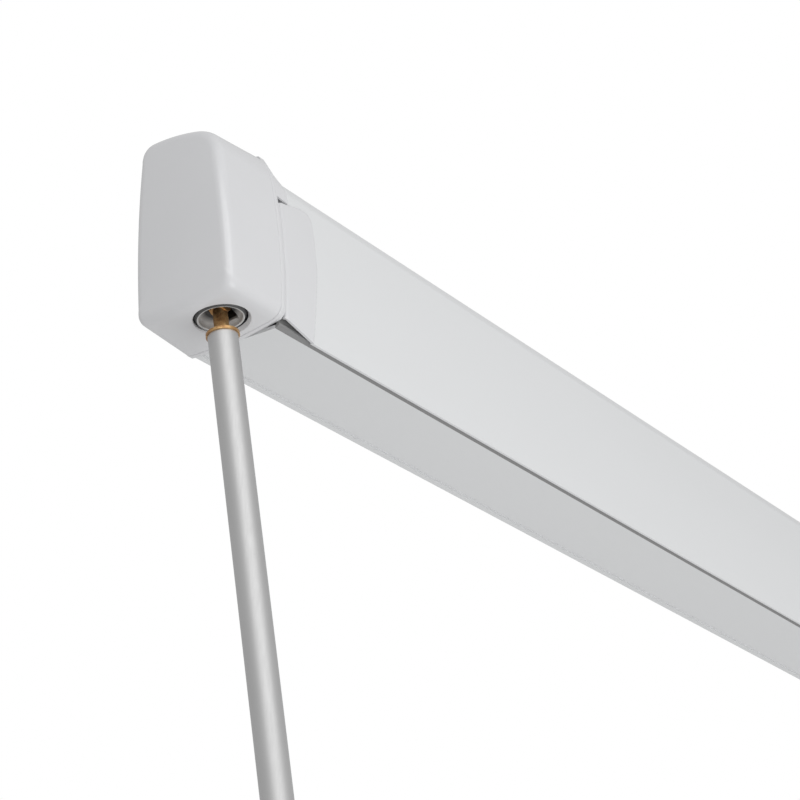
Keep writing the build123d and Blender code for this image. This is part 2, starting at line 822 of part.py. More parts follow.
with BuildPart() as elbow_tongue:
    with BuildSketch(arm_plane):
        with BuildLine():
            Polyline(
                (neck_x, -arm_pitch + tube_bore_width / 2),
                (neck_x, -arm_pitch - tube_bore_width / 2),
                (elbow[0], elbow[1] - knuckle_radius),
                elbow,
                (neck_x, -arm_pitch + tube_bore_width / 2),
            )
        make_face()
        with Locations(elbow):
            Circle(knuckle_radius)
            Circle(pin_bore, mode=Mode.SUBTRACT)
    extrude(amount=tongue_thickness / 2, both=True)
    with BuildSketch(arm_plane):
        with Locations((neck_x - spigot_length / 2, -arm_pitch)):
            Rectangle(spigot_length, tube_bore_width)
    extrude(amount=tube_bore_height / 2, both=True)
finish_pair(elbow_tongue, "elbow_tongue")

# Shoulder brackets: a foot on the cassette's back wall with two ears
shoulder_foot = 2.4
foot_lip = 9.0
foot_half_height = arm_height / 2 + foot_lip
foot_half_width = 14.0
foot_face_y = inner_back_y - shoulder_foot

with BuildPart() as shoulder_bracket:
    with BuildSketch(Plane.XZ.offset(-inner_back_y)):
        with Locations((-shoulder_x, upper_arm_z)):
            Rectangle(2 * foot_half_width, 2 * foot_half_height)
    extrude(amount=shoulder_foot)
    for side in (-1, 1):
        with BuildSketch(arm_plane.offset(side * ear_offset)):
            with Locations(shoulder):
                Circle(knuckle_radius)
            with Locations((-shoulder_x, -upper_arm_y / 2)):
                Rectangle(2 * knuckle_radius, -upper_arm_y)
            with Locations(shoulder):
                Circle(pin_radius, mode=Mode.SUBTRACT)
        extrude(amount=side * ear_thickness)
    split(bisect_by=Plane.XZ.offset(-inner_back_y), keep=Keep.TOP)
finish_pair(shoulder_bracket, "shoulder_bracket")

# Lead rail: the long front panel, with a crown that laps over the cassette's top
rail_foot_z = -rail_foot_share * height
crown_end = section(rail_crown_shares[2])
ring_inset = 3.6
ring_drop = 8.17
ring_y = crown_end[0] - ring_inset
ring_z = crown_end[1] - ring_drop
ring_bore = 2.2
ring_wall = 1.6
ring_slot = 1.6
leg_headroom = 5.0
leg_shelf_z = leg_z + leg_radius + leg_headroom
leg_shelf = 1.5
leg_shelf_reach = 61.0


def rail_face(closed):
    """The thin section of the rail, or with closed the whole area behind it, on the XY plane."""
    with BuildSketch(Plane.XY, mode=Mode.PRIVATE) as face:
        with BuildLine() as line:
            front = ThreePointArc(*[section(s) for s in rail_front_shares])
            ThreePointArc(*[section(s) for s in rail_crown_shares])
            Line(((front @ 0).X, rail_foot_z), front @ 0)
            if closed:
                Polyline(crown_end, (crown_end[0], rail_foot_z), ((front @ 0).X, rail_foot_z))
            else:
                offset(amount=rail_skin, side=Side.RIGHT, closed=True)
        make_face()
    return face.sketch_local


rail_area = rail_face(True)
rail_section = rail_face(False)
with BuildSketch() as rail_room_sketch:
    add(rail_area)
    offset(amount=-rail_skin, kind=Kind.INTERSECTION, mode=Mode.REPLACE)
    with Locations((crown_end[0] / 2 - rail_skin, 0)):
        Rectangle(-crown_end[0] + 2 * rail_skin, height)
rail_room = rail_room_sketch.sketch_local

with BuildPart() as rail_profile:
    with BuildSketch(Plane.YZ.offset(-rail_half)):
        add(rail_section)
        with Locations((ring_y, ring_z)):
            Circle(ring_bore + ring_wall)
            Circle(ring_bore, mode=Mode.SUBTRACT)
        with Locations((ring_y + ring_bore + ring_wall / 2, ring_z)):
            Rectangle(2 * ring_wall, ring_slot, mode=Mode.SUBTRACT)
        with BuildSketch(mode=Mode.PRIVATE) as shelf:
            with Locations((-leg_shelf_reach - depth / 4, leg_shelf_z)):
                Rectangle(depth / 2, leg_shelf)
            add(rail_area, mode=Mode.INTERSECT)
            with Locations((-leg_shelf_reach + depth / 2, leg_shelf_z)):
                Rectangle(depth, 2 * leg_shelf, mode=Mode.SUBTRACT)
        add(shelf.sketch_local)
    extrude(amount=2 * rail_half)
finish(rail_profile, "rail_profile")

# Rail end pieces: the same section, closed at the outer end, with the stub that a leg turns on
closing_wall = 2.0
closing_reach = 62.0
closing_rise = 3.0
closing_bottom = seal_top_z + closing_rise
tongue_wall = 1.5
tongue_top = leg_z + leg_radius
tongue_bottom = leg_z - leg_radius
leg_eye_width = 14.0
leg_eye_front = leg_y - leg_eye_width / 2
stub_lip = 1.0
stub_end = leg_y + leg_eye_width / 2 + stub_lip
tongue_end = -leg_pivot_x + leg_radius

with BuildPart() as leg_tongue:
    with BuildSketch(Plane.XZ.offset(-leg_eye_front + seat_gap)):
        with Locations(((tongue_end - rail_end) / 2, (tongue_top + tongue_bottom) / 2)):
            Rectangle(tongue_end + rail_end, tongue_top - tongue_bottom)
    extrude(amount=tongue_wall)
    with BuildSketch(Plane.YZ.offset(-half_length)):
        add(rail_room)
    extrude(amount=half_length, mode=Mode.INTERSECT)

with BuildPart() as rail_end_cap:
    with BuildSketch(Plane.YZ.offset(-rail_end)):
        add(rail_section)
    extrude(amount=rail_cap_width)
    with BuildSketch(Plane.YZ.offset(-rail_end)):
        add(rail_area)
        Rectangle(2 * closing_reach, 2 * height, mode=Mode.SUBTRACT)
        with Locations((0, closing_bottom - height / 2)):
            Rectangle(2 * depth, height, mode=Mode.SUBTRACT)
    extrude(amount=closing_wall)
    add(leg_tongue.part)
    with BuildSketch(Plane.XZ.offset(-stub_end)):
        with Locations((-leg_pivot_x, leg_z)):
            Circle(leg_pin_radius)
    extrude(amount=stub_end - leg_eye_front + seat_gap + tongue_wall / 2)
finish_pair(rail_end_cap, "rail_end_cap")

# Cloth hem: a rod in the rail's groove
with BuildPart() as hem_rod:
    with BuildSketch(Plane.YZ.offset(-cloth_half_width)):
        with Locations((ring_y, ring_z)):
            Circle(ring_bore - seat_gap)
    extrude(amount=2 * cloth_half_width)
finish(hem_rod, "hem_rod")

# Cloth between the roll and the hem
cloth_gap = 0.5
cloth_front = (ring_y + ring_bore - seat_gap / 2, ring_z)
cloth_lead = 4.0
cloth_rear = (roller_y - cloth_lead, roller_z + roll_radius + cloth_gap)
with BuildPart() as cloth_front_piece:
    with BuildSketch(Plane.YZ.offset(-cloth_half_width)):
        with BuildLine():
            Polyline(
                cloth_front,
                cloth_rear,
                (cloth_rear[0], cloth_rear[1] + cloth_thickness),
                (cloth_front[0], cloth_front[1] + cloth_thickness),
                close=True,
            )
        make_face()
    extrude(amount=2 * cloth_half_width)
finish(cloth_front_piece, "cloth_sheet")

# Wrist brackets: a web against the inside of the rail and two ears over the wrist
web_line = (leg_y - leg_radius - upper_arm_y) / cos(radians(arm_slope))
bracket_edge = 1.0
bracket_half = knuckle_radius + bracket_edge
front_reach = depth

with BuildPart() as wrist_brackets:
    for side in (-1, 1):
        with BuildSketch(arm_plane.offset(side * ear_offset)):
            with Locations(wrist):
                Circle(knuckle_radius)
            with Locations((wrist[0], wrist[1] - front_reach / 2)):
                Rectangle(2 * knuckle_radius, front_reach)
            with Locations(wrist):
                Circle(pin_radius, mode=Mode.SUBTRACT)
        extrude(amount=side * ear_thickness)
    with BuildSketch(arm_plane):
        with Locations((wrist[0], web_line - front_reach / 2)):
            Rectangle(2 * bracket_half, front_reach)
    extrude(amount=stack, both=True)
    with BuildSketch(Plane.YZ.offset(-half_length)):
        add(rail_room)
    extrude(amount=half_length, mode=Mode.INTERSECT)
finish_both(wrist_brackets, "wrist_brackets")
right_pin_radius = pin_radius - seat_gap
with BuildPart() as wrist_pins:
    add(pins([wrist], pin_radius).part)
    mirror(pins([wrist], right_pin_radius).part, about=Plane.YZ)
finish(wrist_pins, "wrist_pins")

# Support legs: head, outer tube, inner tube, foot and the lever that clamps them
leg_inner_radius = leg_radius - leg_wall - running
leg_inner_wall = 1.0
leg_head_reach = 12.0
leg_head_step = 3.0
leg_spigot = 25.0
leg_tip_run = 48.0
leg_tube_length = leg_stowed - leg_head_reach - leg_tip_run
leg_overlap_start = 48.0
foot_pivot = 12.0
foot_pin_radius = 2.0
foot_eye_radius = 4.0
foot_eye_width = 4.0
foot_ear = 3.0
foot_reach = 8.0
foot_plate = 3.0
foot_plate_height = 16.0
foot_plate_width = 13.0
collar_growth = 0.7
collar_length = 26.0
lever_pivot_back = 14.0
lever_pin_radius = 1.2
lever_barrel_radius = 2.3
lever_barrel_width = 8.0
lever_length = 34.0
lever_plate = 2.4
lug_width = 2.0
leg_start = -leg_pivot_x


def leg_disc(x, radius, bore=0.0):
    """A round face across the leg at a place along X."""
    with BuildSketch(Plane.YZ.offset(x), mode=Mode.PRIVATE) as face:
        with Locations((leg_y, leg_z)):
            Circle(radius)
            if bore:
                Circle(bore, mode=Mode.SUBTRACT)
    return face.sketch


with BuildPart() as leg_head:
    with BuildSketch(Plane.XZ.offset(-leg_y)):
        with Locations((leg_start, leg_z)):
            Circle(leg_radius)
        with Locations((leg_start + leg_head_reach / 2, leg_z)):
            Rectangle(leg_head_reach, 2 * leg_radius - leg_head_step)
        with Locations((leg_start, leg_z)):
            Circle(leg_pin_radius + running, mode=Mode.SUBTRACT)
    extrude(amount=leg_eye_width / 2, both=True)
    extrude(leg_disc(leg_start + leg_head_reach, leg_radius - leg_wall), amount=leg_spigot)
finish_pair(leg_head, "leg_head")

tube_tip = leg_start + leg_head_reach + leg_tube_length
lever_x = tube_tip - lever_pivot_back
lever_z = leg_z - leg_radius - collar_growth - seat_gap - lever_barrel_radius
lug_inner = lever_barrel_width / 2 + seat_gap

with BuildPart() as leg_tube:
    extrude(leg_disc(leg_start + leg_head_reach, leg_radius, leg_radius - leg_wall), amount=leg_tube_length)
    collar = leg_disc(tube_tip - collar_length, leg_radius + collar_growth, leg_radius - leg_wall)
    extrude(collar, amount=collar_length)
    for side in (-1, 1):
        with BuildSketch(Plane.XZ.offset(-leg_y - side * lug_inner)):
            with Locations((lever_x, lever_z)):
                Circle(lever_barrel_radius)
            with Locations((lever_x, (lever_z + leg_z) / 2)):
                Rectangle(2 * lever_barrel_radius, leg_z - lever_z)
        extrude(amount=-side * lug_width)
    bore = leg_disc(tube_tip - collar_length, leg_radius - leg_wall)
    extrude(bore, amount=collar_length, mode=Mode.SUBTRACT)
    with BuildSketch(Plane.XZ.offset(-leg_y)):
        with Locations((lever_x, lever_z)):
            Circle(lever_pin_radius)
    extrude(amount=lug_inner + lug_width / 2, both=True)
finish_pair(leg_tube, "leg_tube")

with BuildPart() as leg_lever:
    with BuildSketch(Plane.XZ.offset(-leg_y)):
        with Locations((lever_x, lever_z)):
            Circle(lever_barrel_radius)
        with Locations((lever_x - lever_length / 2, lever_z - lever_barrel_radius + lever_plate / 2)):
            Rectangle(lever_length, lever_plate)
        with Locations((lever_x, lever_z)):
            Circle(lever_pin_radius + running, mode=Mode.SUBTRACT)
    extrude(amount=lever_barrel_width / 2, both=True)
finish_pair(leg_lever, "leg_lever")

inner_end = leg_start + leg_stowed - foot_pivot
foot_x = leg_start + leg_stowed
with BuildPart() as leg_inner:
    extrude(
        leg_disc(leg_start + leg_overlap_start, leg_inner_radius, leg_inner_radius - leg_inner_wall),
        amount=inner_end - leg_start - leg_overlap_start,
    )
    extrude(leg_disc(inner_end, leg_inner_radius), amount=-foot_plate)
    with BuildSketch(Plane.XZ.offset(-leg_y)):
        with Locations((foot_x, leg_z)):
            Circle(foot_eye_radius)
        with Locations((foot_x - foot_pivot / 2, leg_z)):
            Rectangle(foot_pivot, 2 * foot_eye_radius)
        with Locations((foot_x, leg_z)):
            Circle(foot_pin_radius + running, mode=Mode.SUBTRACT)
    extrude(amount=foot_eye_width / 2, both=True)
finish_pair(leg_inner, "leg_inner")

with BuildPart() as leg_foot:
    for side in (-1, 1):
        with BuildSketch(Plane.XZ.offset(-leg_y - side * (foot_eye_width / 2 + seat_gap))):
            with Locations((foot_x, leg_z)):
                Circle(foot_eye_radius)
            with Locations((foot_x + foot_reach / 2, leg_z)):
                Rectangle(foot_reach, 2 * foot_eye_radius)
        extrude(amount=-side * foot_ear)
    with BuildSketch(Plane.XZ.offset(-leg_y)):
        with Locations((foot_x, leg_z)):
            Circle(foot_pin_radius)
    extrude(amount=foot_eye_width / 2 + foot_ear, both=True)
    with BuildSketch(Plane.YZ.offset(foot_x + foot_reach)):
        with Locations((leg_y, leg_z)):
            RectangleRounded(foot_plate_width, foot_plate_height, foot_plate)
    extrude(amount=foot_plate)
finish_pair(leg_foot, "leg_foot")
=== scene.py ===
# %% [markdown]
# # A roll out awning, closed, with its crank hooked in
#
# The awning is a long white box that hangs on the side of a caravan. Its left end has a
# moulded cap, and a crank of brass and aluminium hooks into a cup in the cap's underside.
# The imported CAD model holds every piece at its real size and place. This lesson dresses it:
# each visible skin is rebuilt as a smooth surface with numpy, and each piece gets a finish
# made of shader nodes. All lengths are in metres, and the wall is the plane Y = 0.

# %% Load the frame
import bmesh
import bpy
import numpy as np
from mathutils import Matrix


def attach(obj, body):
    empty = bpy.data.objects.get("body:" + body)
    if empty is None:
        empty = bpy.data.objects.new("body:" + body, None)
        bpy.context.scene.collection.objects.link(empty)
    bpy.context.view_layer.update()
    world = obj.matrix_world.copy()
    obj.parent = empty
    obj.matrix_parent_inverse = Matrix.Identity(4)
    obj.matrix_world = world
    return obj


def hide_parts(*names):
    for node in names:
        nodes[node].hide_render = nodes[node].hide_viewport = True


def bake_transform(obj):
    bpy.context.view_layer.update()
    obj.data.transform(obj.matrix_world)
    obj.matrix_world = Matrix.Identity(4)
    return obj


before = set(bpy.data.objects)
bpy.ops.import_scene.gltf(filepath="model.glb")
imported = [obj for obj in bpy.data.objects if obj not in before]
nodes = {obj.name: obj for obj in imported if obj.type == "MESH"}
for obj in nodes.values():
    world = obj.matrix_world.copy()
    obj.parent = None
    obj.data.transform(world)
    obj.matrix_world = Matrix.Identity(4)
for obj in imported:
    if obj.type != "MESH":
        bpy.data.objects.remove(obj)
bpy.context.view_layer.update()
MM = 0.001

# %% [markdown]
# ## The camera
#
# The picture was taken from below and from the left end. The camera stands a metre and a half
# from the cap. It looks along the wall, turned 34.4 degrees towards it and 23 degrees up, with a
# long lens. It is made first, because every surface is judged through it.

# %% Camera
LOOK_UP = np.radians(23.0)
LOOK_ASIDE = np.radians(34.4)
PICTURE_PX = 800.0
FOCAL_PX = 2344.0
SENSOR_WIDTH = 36.0
CAMERA_PLACE = np.array([-2.3277, -0.9173, -0.6965])


def placed(right, up, back, place):
    """The matrix of a camera or a lamp with these three axes at a place."""
    return Matrix([[right[i], up[i], back[i], place[i]] for i in range(3)] + [[0, 0, 0, 1]])


def aim(up_angle, side_angle):
    """The camera's axes: forward from the two angles, right is level, and up closes the set."""
    level = np.array([np.cos(side_angle), np.sin(side_angle), 0.0])
    forward = level * np.cos(up_angle) + np.array([0.0, 0.0, np.sin(up_angle)])
    right = np.array([np.sin(side_angle), -np.cos(side_angle), 0.0])
    return right, np.cross(right, forward), forward


camera_data = bpy.data.cameras.new("camera")
camera_data.sensor_width = SENSOR_WIDTH
camera_data.lens = FOCAL_PX / PICTURE_PX * SENSOR_WIDTH
camera_data.clip_start = 0.05
camera_data.clip_end = 100.0
camera = bpy.data.objects.new("camera", camera_data)
right, up, forward = aim(LOOK_UP, LOOK_ASIDE)
camera.matrix_world = placed(right, up, -forward, CAMERA_PLACE)
bpy.context.scene.collection.objects.link(camera)
bpy.context.scene.camera = camera
print("lens:", round(camera_data.lens, 1), "mm")

# %% [markdown]
# ## A wire for the shader maths
#
# A finish is a small calculation, such as colour plus a little noise. Written with raw nodes it is
# hard to read, so one class holds a socket and turns plus, minus and times into Math nodes.
# Every other node comes from its one method `node`.


# %% Wire
class Wire:
    """A socket of a material. Arithmetic on wires adds Math nodes to the material."""

    def __init__(self, tree, socket=None):
        self.tree = tree
        self.socket = socket

    def node(self, kind, inputs=None, out=0, **settings):
        """Adds a node: first its settings, then the values or wires of its sockets."""
        made = self.tree.nodes.new("ShaderNode" + kind)
        stops = settings.pop("stops", None)
        for name, value in settings.items():
            setattr(made, name, value)
        if stops:
            ramp = made.color_ramp
            while len(ramp.elements) < len(stops):
                ramp.elements.new(0.5)
            for element, (place, colour) in zip(ramp.elements, stops):
                element.position = place
                element.color = (*colour, 1.0) if len(colour) == 3 else colour
        for name, value in (inputs or {}).items():
            if isinstance(value, Wire):
                self.tree.links.new(value.socket, made.inputs[name])
            else:
                made.inputs[name].default_value = value
        return Wire(self.tree, made.outputs[out])

    def maths(self, operation, *values):
        return self.node("Math", dict(enumerate(values)), operation=operation)

    def __add__(self, other):
        return self.maths("ADD", self, other)

    def __sub__(self, other):
        return self.maths("SUBTRACT", self, other)

    def __mul__(self, other):
        return self.maths("MULTIPLY", self, other)

    def __radd__(self, other):
        return self.maths("ADD", other, self)

    def __rsub__(self, other):
        return self.maths("SUBTRACT", other, self)

    def __rmul__(self, other):
        return self.maths("MULTIPLY", other, self)

    def clamp(self):
        """The wire's value, kept between 0 and 1."""
        return self.maths("MINIMUM", self.maths("MAXIMUM", self, 0.0), 1.0)

    def mix(self, a, b):
        """A colour between a and b, with this wire as the share of b."""
        four = [c if isinstance(c, Wire) else (*c, 1.0) for c in (a, b)]
        return self.node("Mix", {0: self, 6: four[0], 7: four[1]}, out=2, data_type="RGBA")


# %% [markdown]
# ## Finishes
#
# Each finish starts from the piece's own coordinates, so that a grain has one real size on every
# piece. `finish` makes the material, hands its recipe the place on the piece, and plugs what the
# recipe returns into the Principled shader. Numbers that don't vary are set on the shader itself.


# %% Helper for a finish
def finish(name, recipe):
    """A material whose Principled sockets are set from the dict that recipe(place) returns."""
    material = bpy.data.materials.new(name)
    material.use_nodes = True
    tree = material.node_tree
    shader = next(n for n in tree.nodes if n.type == "BSDF_PRINCIPLED")
    place = Wire(tree).node("TexCoord", out="Object")
    for socket, value in recipe(place).items():
        if isinstance(value, Wire):
            tree.links.new(value.socket, shader.inputs[socket])
        elif isinstance(value, tuple):
            shader.inputs[socket].default_value = (*value, 1.0)
        else:
            shader.inputs[socket].default_value = value
    return material


def noise(place, size, detail=2.0, roughness=0.5):
    """Soft noise with blots of this size in metres, from 0 to 1."""
    inputs = {"Vector": place, "Scale": 1.0 / size, "Detail": detail, "Roughness": roughness}
    return place.node("TexNoise", inputs)


def bumps(place, height, depth):
    """A normal from a height between 0 and 1 that stands for this depth in metres."""
    return place.node("Bump", {"Height": height, "Strength": 1.0, "Distance": depth})


def stretched(place, scale):
    """The place with each axis scaled, for grain that runs one way."""
    return place.node("Mapping", {"Vector": place, "Scale": scale})


# %% [markdown]
# The caps are injection moulded in a light grey white plastic with a satin sheen: almost even in
# colour, with a very fine spark erosion grain that only softens the highlights.


# %% Cap plastic
def cap_plastic(place):
    cloud = noise(place, 0.06, 3.0)
    grain = noise(place, 0.0006, 2.0)
    return {
        "Base Color": cloud.mix((0.565, 0.568, 0.58), (0.59, 0.593, 0.605)),
        "Roughness": 0.2 + cloud * 0.05,
        "Normal": bumps(place, grain, 0.00001),
        "Specular IOR Level": 0.45,
    }


CAP = finish("cap plastic", cap_plastic)


# %% [markdown]
# The long profiles are extruded aluminium with a white powder coat. Powder flows out in the
# oven with a faint orange peel, a few millimetres from crest to crest and a hundredth deep.


# %% Powder coat
def powder_coat(place):
    peel = noise(place, 0.0035, 1.0)
    cloud = noise(stretched(place, (0.2, 1.0, 1.0)), 0.09, 2.0)
    return {
        "Base Color": cloud.mix((0.605, 0.613, 0.62), (0.625, 0.633, 0.64)),
        "Roughness": 0.32 + cloud * 0.06,
        "Normal": bumps(place, peel, 0.000012),
        "Specular IOR Level": 0.45,
    }


PAINT = finish("white powder coat", powder_coat)


# %% [markdown]
# A strip of dark rubber seals the floor's front edge against the panel. Rubber is matt and its
# colour hardly varies, so a fine noise in tone and height is enough.


# %% Seal rubber
def seal_rubber(place):
    grain = noise(place, 0.001, 3.0)
    return {
        "Base Color": grain.mix((0.17, 0.17, 0.17), (0.24, 0.24, 0.24)),
        "Roughness": 0.7 + grain * 0.15,
        "Normal": bumps(place, grain, 0.00004),
    }


RUBBER = finish("seal rubber", seal_rubber)


# %% [markdown]
# The crank's tube is drawn aluminium with a satin anodised skin. Its grain runs along the tube, so
# the noise is stretched along it, and a highlight spreads across the grain.


# %% Satin aluminium
def satin_aluminium(place):
    grain = noise(stretched(place, (1.0, 1.0, 0.02)), 0.0012, 3.0)
    cloud = noise(place, 0.08, 2.0)
    return {
        "Base Color": cloud.mix((0.50, 0.50, 0.50), (0.54, 0.54, 0.54)),
        "Metallic": 1.0,
        "Roughness": 0.5 + grain * 0.12,
        "Normal": bumps(place, grain, 0.000008),
    }


ALUMINIUM = finish("satin aluminium", satin_aluminium)


# %% [markdown]
# The hook is cast in brass and tumbled. It has dark and light blots where the tumbling polished
# its crests, and brown tarnish in its hollows.


# %% Tumbled brass
BRASS_TONES = [
    (0.0, (0.16, 0.075, 0.03)),
    (0.35, (0.42, 0.235, 0.10)),
    (0.7, (0.62, 0.42, 0.20)),
    (1.0, (0.86, 0.68, 0.42)),
]


def tumbled_brass(place):
    blot = noise(place, 0.006, 5.0, 0.65)
    speck = noise(place, 0.0012, 4.0, 0.6)
    tone = (blot * 1.6 + speck * 0.5 - 0.62).clamp()
    return {
        "Base Color": place.node("ValToRGB", {"Fac": tone}, stops=BRASS_TONES),
        "Metallic": 0.92,
        "Roughness": 0.5 - tone * 0.2,
        "Normal": bumps(place, blot + speck * 0.4, 0.00035),
    }


BRASS = finish("tumbled brass", tumbled_brass)


# %% [markdown]
# Four plainer finishes do for what is small or lies inside: the cup's grey plastic, die cast zinc
# and aluminium, zinc plated steel, and black plastic. Each is one tone with a little cloud, and a
# grain that breaks up its highlights.


# %% Cup plastic, die casting, plated steel, black plastic
def cup_plastic(place):
    cloud = noise(place, 0.008, 4.0)
    grain = noise(place, 0.0008, 3.0)
    return {
        "Base Color": cloud.mix((0.27, 0.27, 0.27), (0.40, 0.40, 0.39)),
        "Roughness": 0.42 + cloud * 0.12,
        "Normal": bumps(place, grain, 0.00004),
    }


def die_cast(place):
    grain = noise(place, 0.0009, 4.0, 0.6)
    cloud = noise(place, 0.02, 3.0)
    return {
        "Base Color": cloud.mix((0.40, 0.41, 0.42), (0.52, 0.53, 0.54)),
        "Metallic": 1.0,
        "Roughness": 0.45 + grain * 0.2,
        "Normal": bumps(place, grain, 0.00005),
    }


def plated_steel(place):
    spangle = noise(place, 0.004, 2.0)
    scratch = noise(stretched(place, (0.1, 1.0, 1.0)), 0.0006, 2.0)
    return {
        "Base Color": spangle.mix((0.55, 0.55, 0.56), (0.68, 0.68, 0.67)),
        "Metallic": 1.0,
        "Roughness": 0.28 + scratch * 0.2,
        "Normal": bumps(place, scratch, 0.00001),
    }


def black_plastic(place):
    grain = noise(place, 0.0007, 3.0, 0.6)
    cloud = noise(place, 0.03, 2.0)
    return {
        "Base Color": cloud.mix((0.018, 0.018, 0.02), (0.03, 0.03, 0.032)),
        "Roughness": 0.48 + grain * 0.18,
        "Normal": bumps(place, grain, 0.00006),
    }


CUP = finish("cup plastic", cup_plastic)
CASTING = finish("die casting", die_cast)
STEEL = finish("plated steel", plated_steel)
BLACK = finish("black plastic", black_plastic)

# %% [markdown]
# Each CAD node wears one finish, so a table of finishes and node names dresses them all. The cloth
# nodes aren't in it, because sheets made further down take their place.

# %% Dress the CAD nodes
WEAR = {
    CAP: "left_end_cap right_end_cap left_rail_end_cap right_rail_end_cap "
    "left_end_plate right_end_plate",
    PAINT: "cassette_profile rail_profile left_upper_arm right_upper_arm "
    "left_forearm right_forearm",
    RUBBER: "seal_strip hem_rod",
    ALUMINIUM: "crank_tube left_leg_tube right_leg_tube left_leg_inner right_leg_inner",
    BRASS: "crank_hook",
    CUP: "swivel_cup",
    BLACK: "gear_housing roller_bushes input_bush guide_sleeve crank_grip "
    "left_leg_lever right_leg_lever left_leg_foot right_leg_foot",
    STEEL: "wall_brackets bracket_rivets cap_screws shoulder_pins wrist_pins left_elbow_pin "
    "right_elbow_pin roller_tube drive_plug idle_plug cross_pin crank_handle",
    CASTING: "bevel_wheel bevel_pinion swivel_fork left_shoulder_knuckle right_shoulder_knuckle "
    "left_wrist_knuckle right_wrist_knuckle left_elbow_fork right_elbow_fork left_elbow_tongue "
    "right_elbow_tongue left_shoulder_bracket right_shoulder_bracket wrist_brackets "
    "left_leg_head right_leg_head",
}
for material, names in WEAR.items():
    for name in names.split():
        nodes[name].data.materials.clear()
        nodes[name].data.materials.append(material)
print("nodes with a finish:", sum(len(n.split()) for n in WEAR.values()))

# %% [markdown]
# ## Surfaces from numpy
#
# Every new piece is a grid of points: a function of two parameters, worked out for all points at
# once. One helper turns such a grid into a mesh, closes it round where it should close, and puts
# it in the scene.


# %% Helper for a grid surface
def quads(rows, columns, close_rows=False, close_columns=False):
    """Indices of the faces between neighbouring rows and columns of a grid of points."""
    index = np.arange(rows * columns).reshape(rows, columns)
    if close_rows:
        index = np.vstack([index, index[:1]])
    if close_columns:
        index = np.hstack([index, index[:, :1]])
    corners = [index[:-1, :-1], index[:-1, 1:], index[1:, 1:], index[1:, :-1]]
    return np.stack(corners, -1).reshape(-1, 4)


def surface(name, points, faces, material, smooth=True):
    """A mesh object from an array of points and an array of faces of one size."""
    mesh = bpy.data.meshes.new(name)
    mesh.from_pydata(points.reshape(-1, 3).tolist(), [], faces.tolist())
    mesh.validate()
    mesh.polygons.foreach_set("use_smooth", np.full(len(mesh.polygons), smooth))
    if material is not None:
        mesh.materials.append(material)
    piece = bpy.data.objects.new(name, mesh)
    bpy.context.scene.collection.objects.link(piece)
    return piece


def welded(piece, distance=0.00002):
    """Merges points that coincide and turns all faces outwards."""
    work = bmesh.new()
    work.from_mesh(piece.data)
    bmesh.ops.remove_doubles(work, verts=work.verts, dist=distance)
    bmesh.ops.dissolve_degenerate(work, edges=work.edges, dist=distance / 10)
    bmesh.ops.recalc_face_normals(work, faces=work.faces)
    work.to_mesh(piece.data)
    work.free()
    return piece


def mirrored(piece, name):
    """The same surface beyond the plane X = 0, with its faces turned outwards again."""
    mesh = piece.data.copy()
    count = len(mesh.vertices)
    points = np.empty(count * 3, np.float32)
    mesh.vertices.foreach_get("co", points)
    points[0::3] *= -1
    mesh.vertices.foreach_set("co", points)
    mesh.flip_normals()
    twin = bpy.data.objects.new(name, mesh)
    bpy.context.scene.collection.objects.link(twin)
    return twin


def turned_out(piece, inside):
    """Flips an open surface if most of its faces look towards a point inside."""
    count = len(piece.data.polygons)
    looks, places = np.empty(count * 3, np.float32), np.empty(count * 3, np.float32)
    piece.data.polygons.foreach_get("normal", looks)
    piece.data.polygons.foreach_get("center", places)
    if (looks.reshape(-1, 3) * (places.reshape(-1, 3) - inside)).sum() < 0:
        piece.data.flip_normals()
    return piece


# %% [markdown]
# ## The section of the cap
#
# Seen along the wall, the cap is a tall rounded box: an arched front, an arched roof and a floor
# that slopes like the crank's hole. It flares from its outer end to its seam with the cassette, so
# it has two outlines. Each is three arcs joined by straight runs, with the same number of points
# in both, and all of it is given in shares of the cassette's depth and height. The corners are
# rounded by averaging: each point moves to the mean of a run of its neighbours.

# %% Cap outlines
DEPTH = 0.080
HEIGHT = 0.127
END_X = -1.297
SEAM_X = -1.239
SEAM_GROOVE = 0.0007
FRONT_SHARES = ((0.991, -0.4), (0.946, 0.031), (0.828, 0.438))
END_FLOOR = ((0.0, -0.465), (0.475, -0.472), (0.94, -0.43))
END_ROOF = ((0.715, 0.506), (0.45, 0.539), (0.0, 0.538))
SEAM_FLOOR = ((0.0, -0.512), (0.475, -0.492), (0.94, -0.436))
SEAM_ROOF = ((0.72, 0.55), (0.45, 0.583), (0.0, 0.58))
ARC_COUNTS = (190, 270, 146)
RUN_COUNTS = (12, 30, 320)
CORNER_REACH = (12, 26, 30, 14)


def section(shares):
    """Points of the section from shares of the depth and the height."""
    return np.array(shares) * (-DEPTH, HEIGHT)


def arc(shares, count=60):
    """Points on the circle through three points, in even steps of its angle."""
    a, b, c = section(shares)
    m = np.array([b - a, c - a]) * 2
    centre = np.linalg.solve(m, [b @ b - a @ a, c @ c - a @ a])
    angles = np.unwrap(np.arctan2(*(np.array([a, b, c]) - centre).T[::-1]))
    t = np.linspace(angles[0], angles[2], count)
    return centre + np.hypot(*(a - centre)) * np.stack([np.cos(t), np.sin(t)], -1)


def eased(points, reach):
    """Each point of a closed line moved to the mean of its neighbours, up to reach on each side."""
    count = len(points)
    sums = np.vstack([np.zeros(2), np.cumsum(np.vstack([points] * 3), 0)])
    at = np.arange(count) + count
    return (sums[at + reach + 1] - sums[at - reach]) / (2 * reach + 1)[:, None]


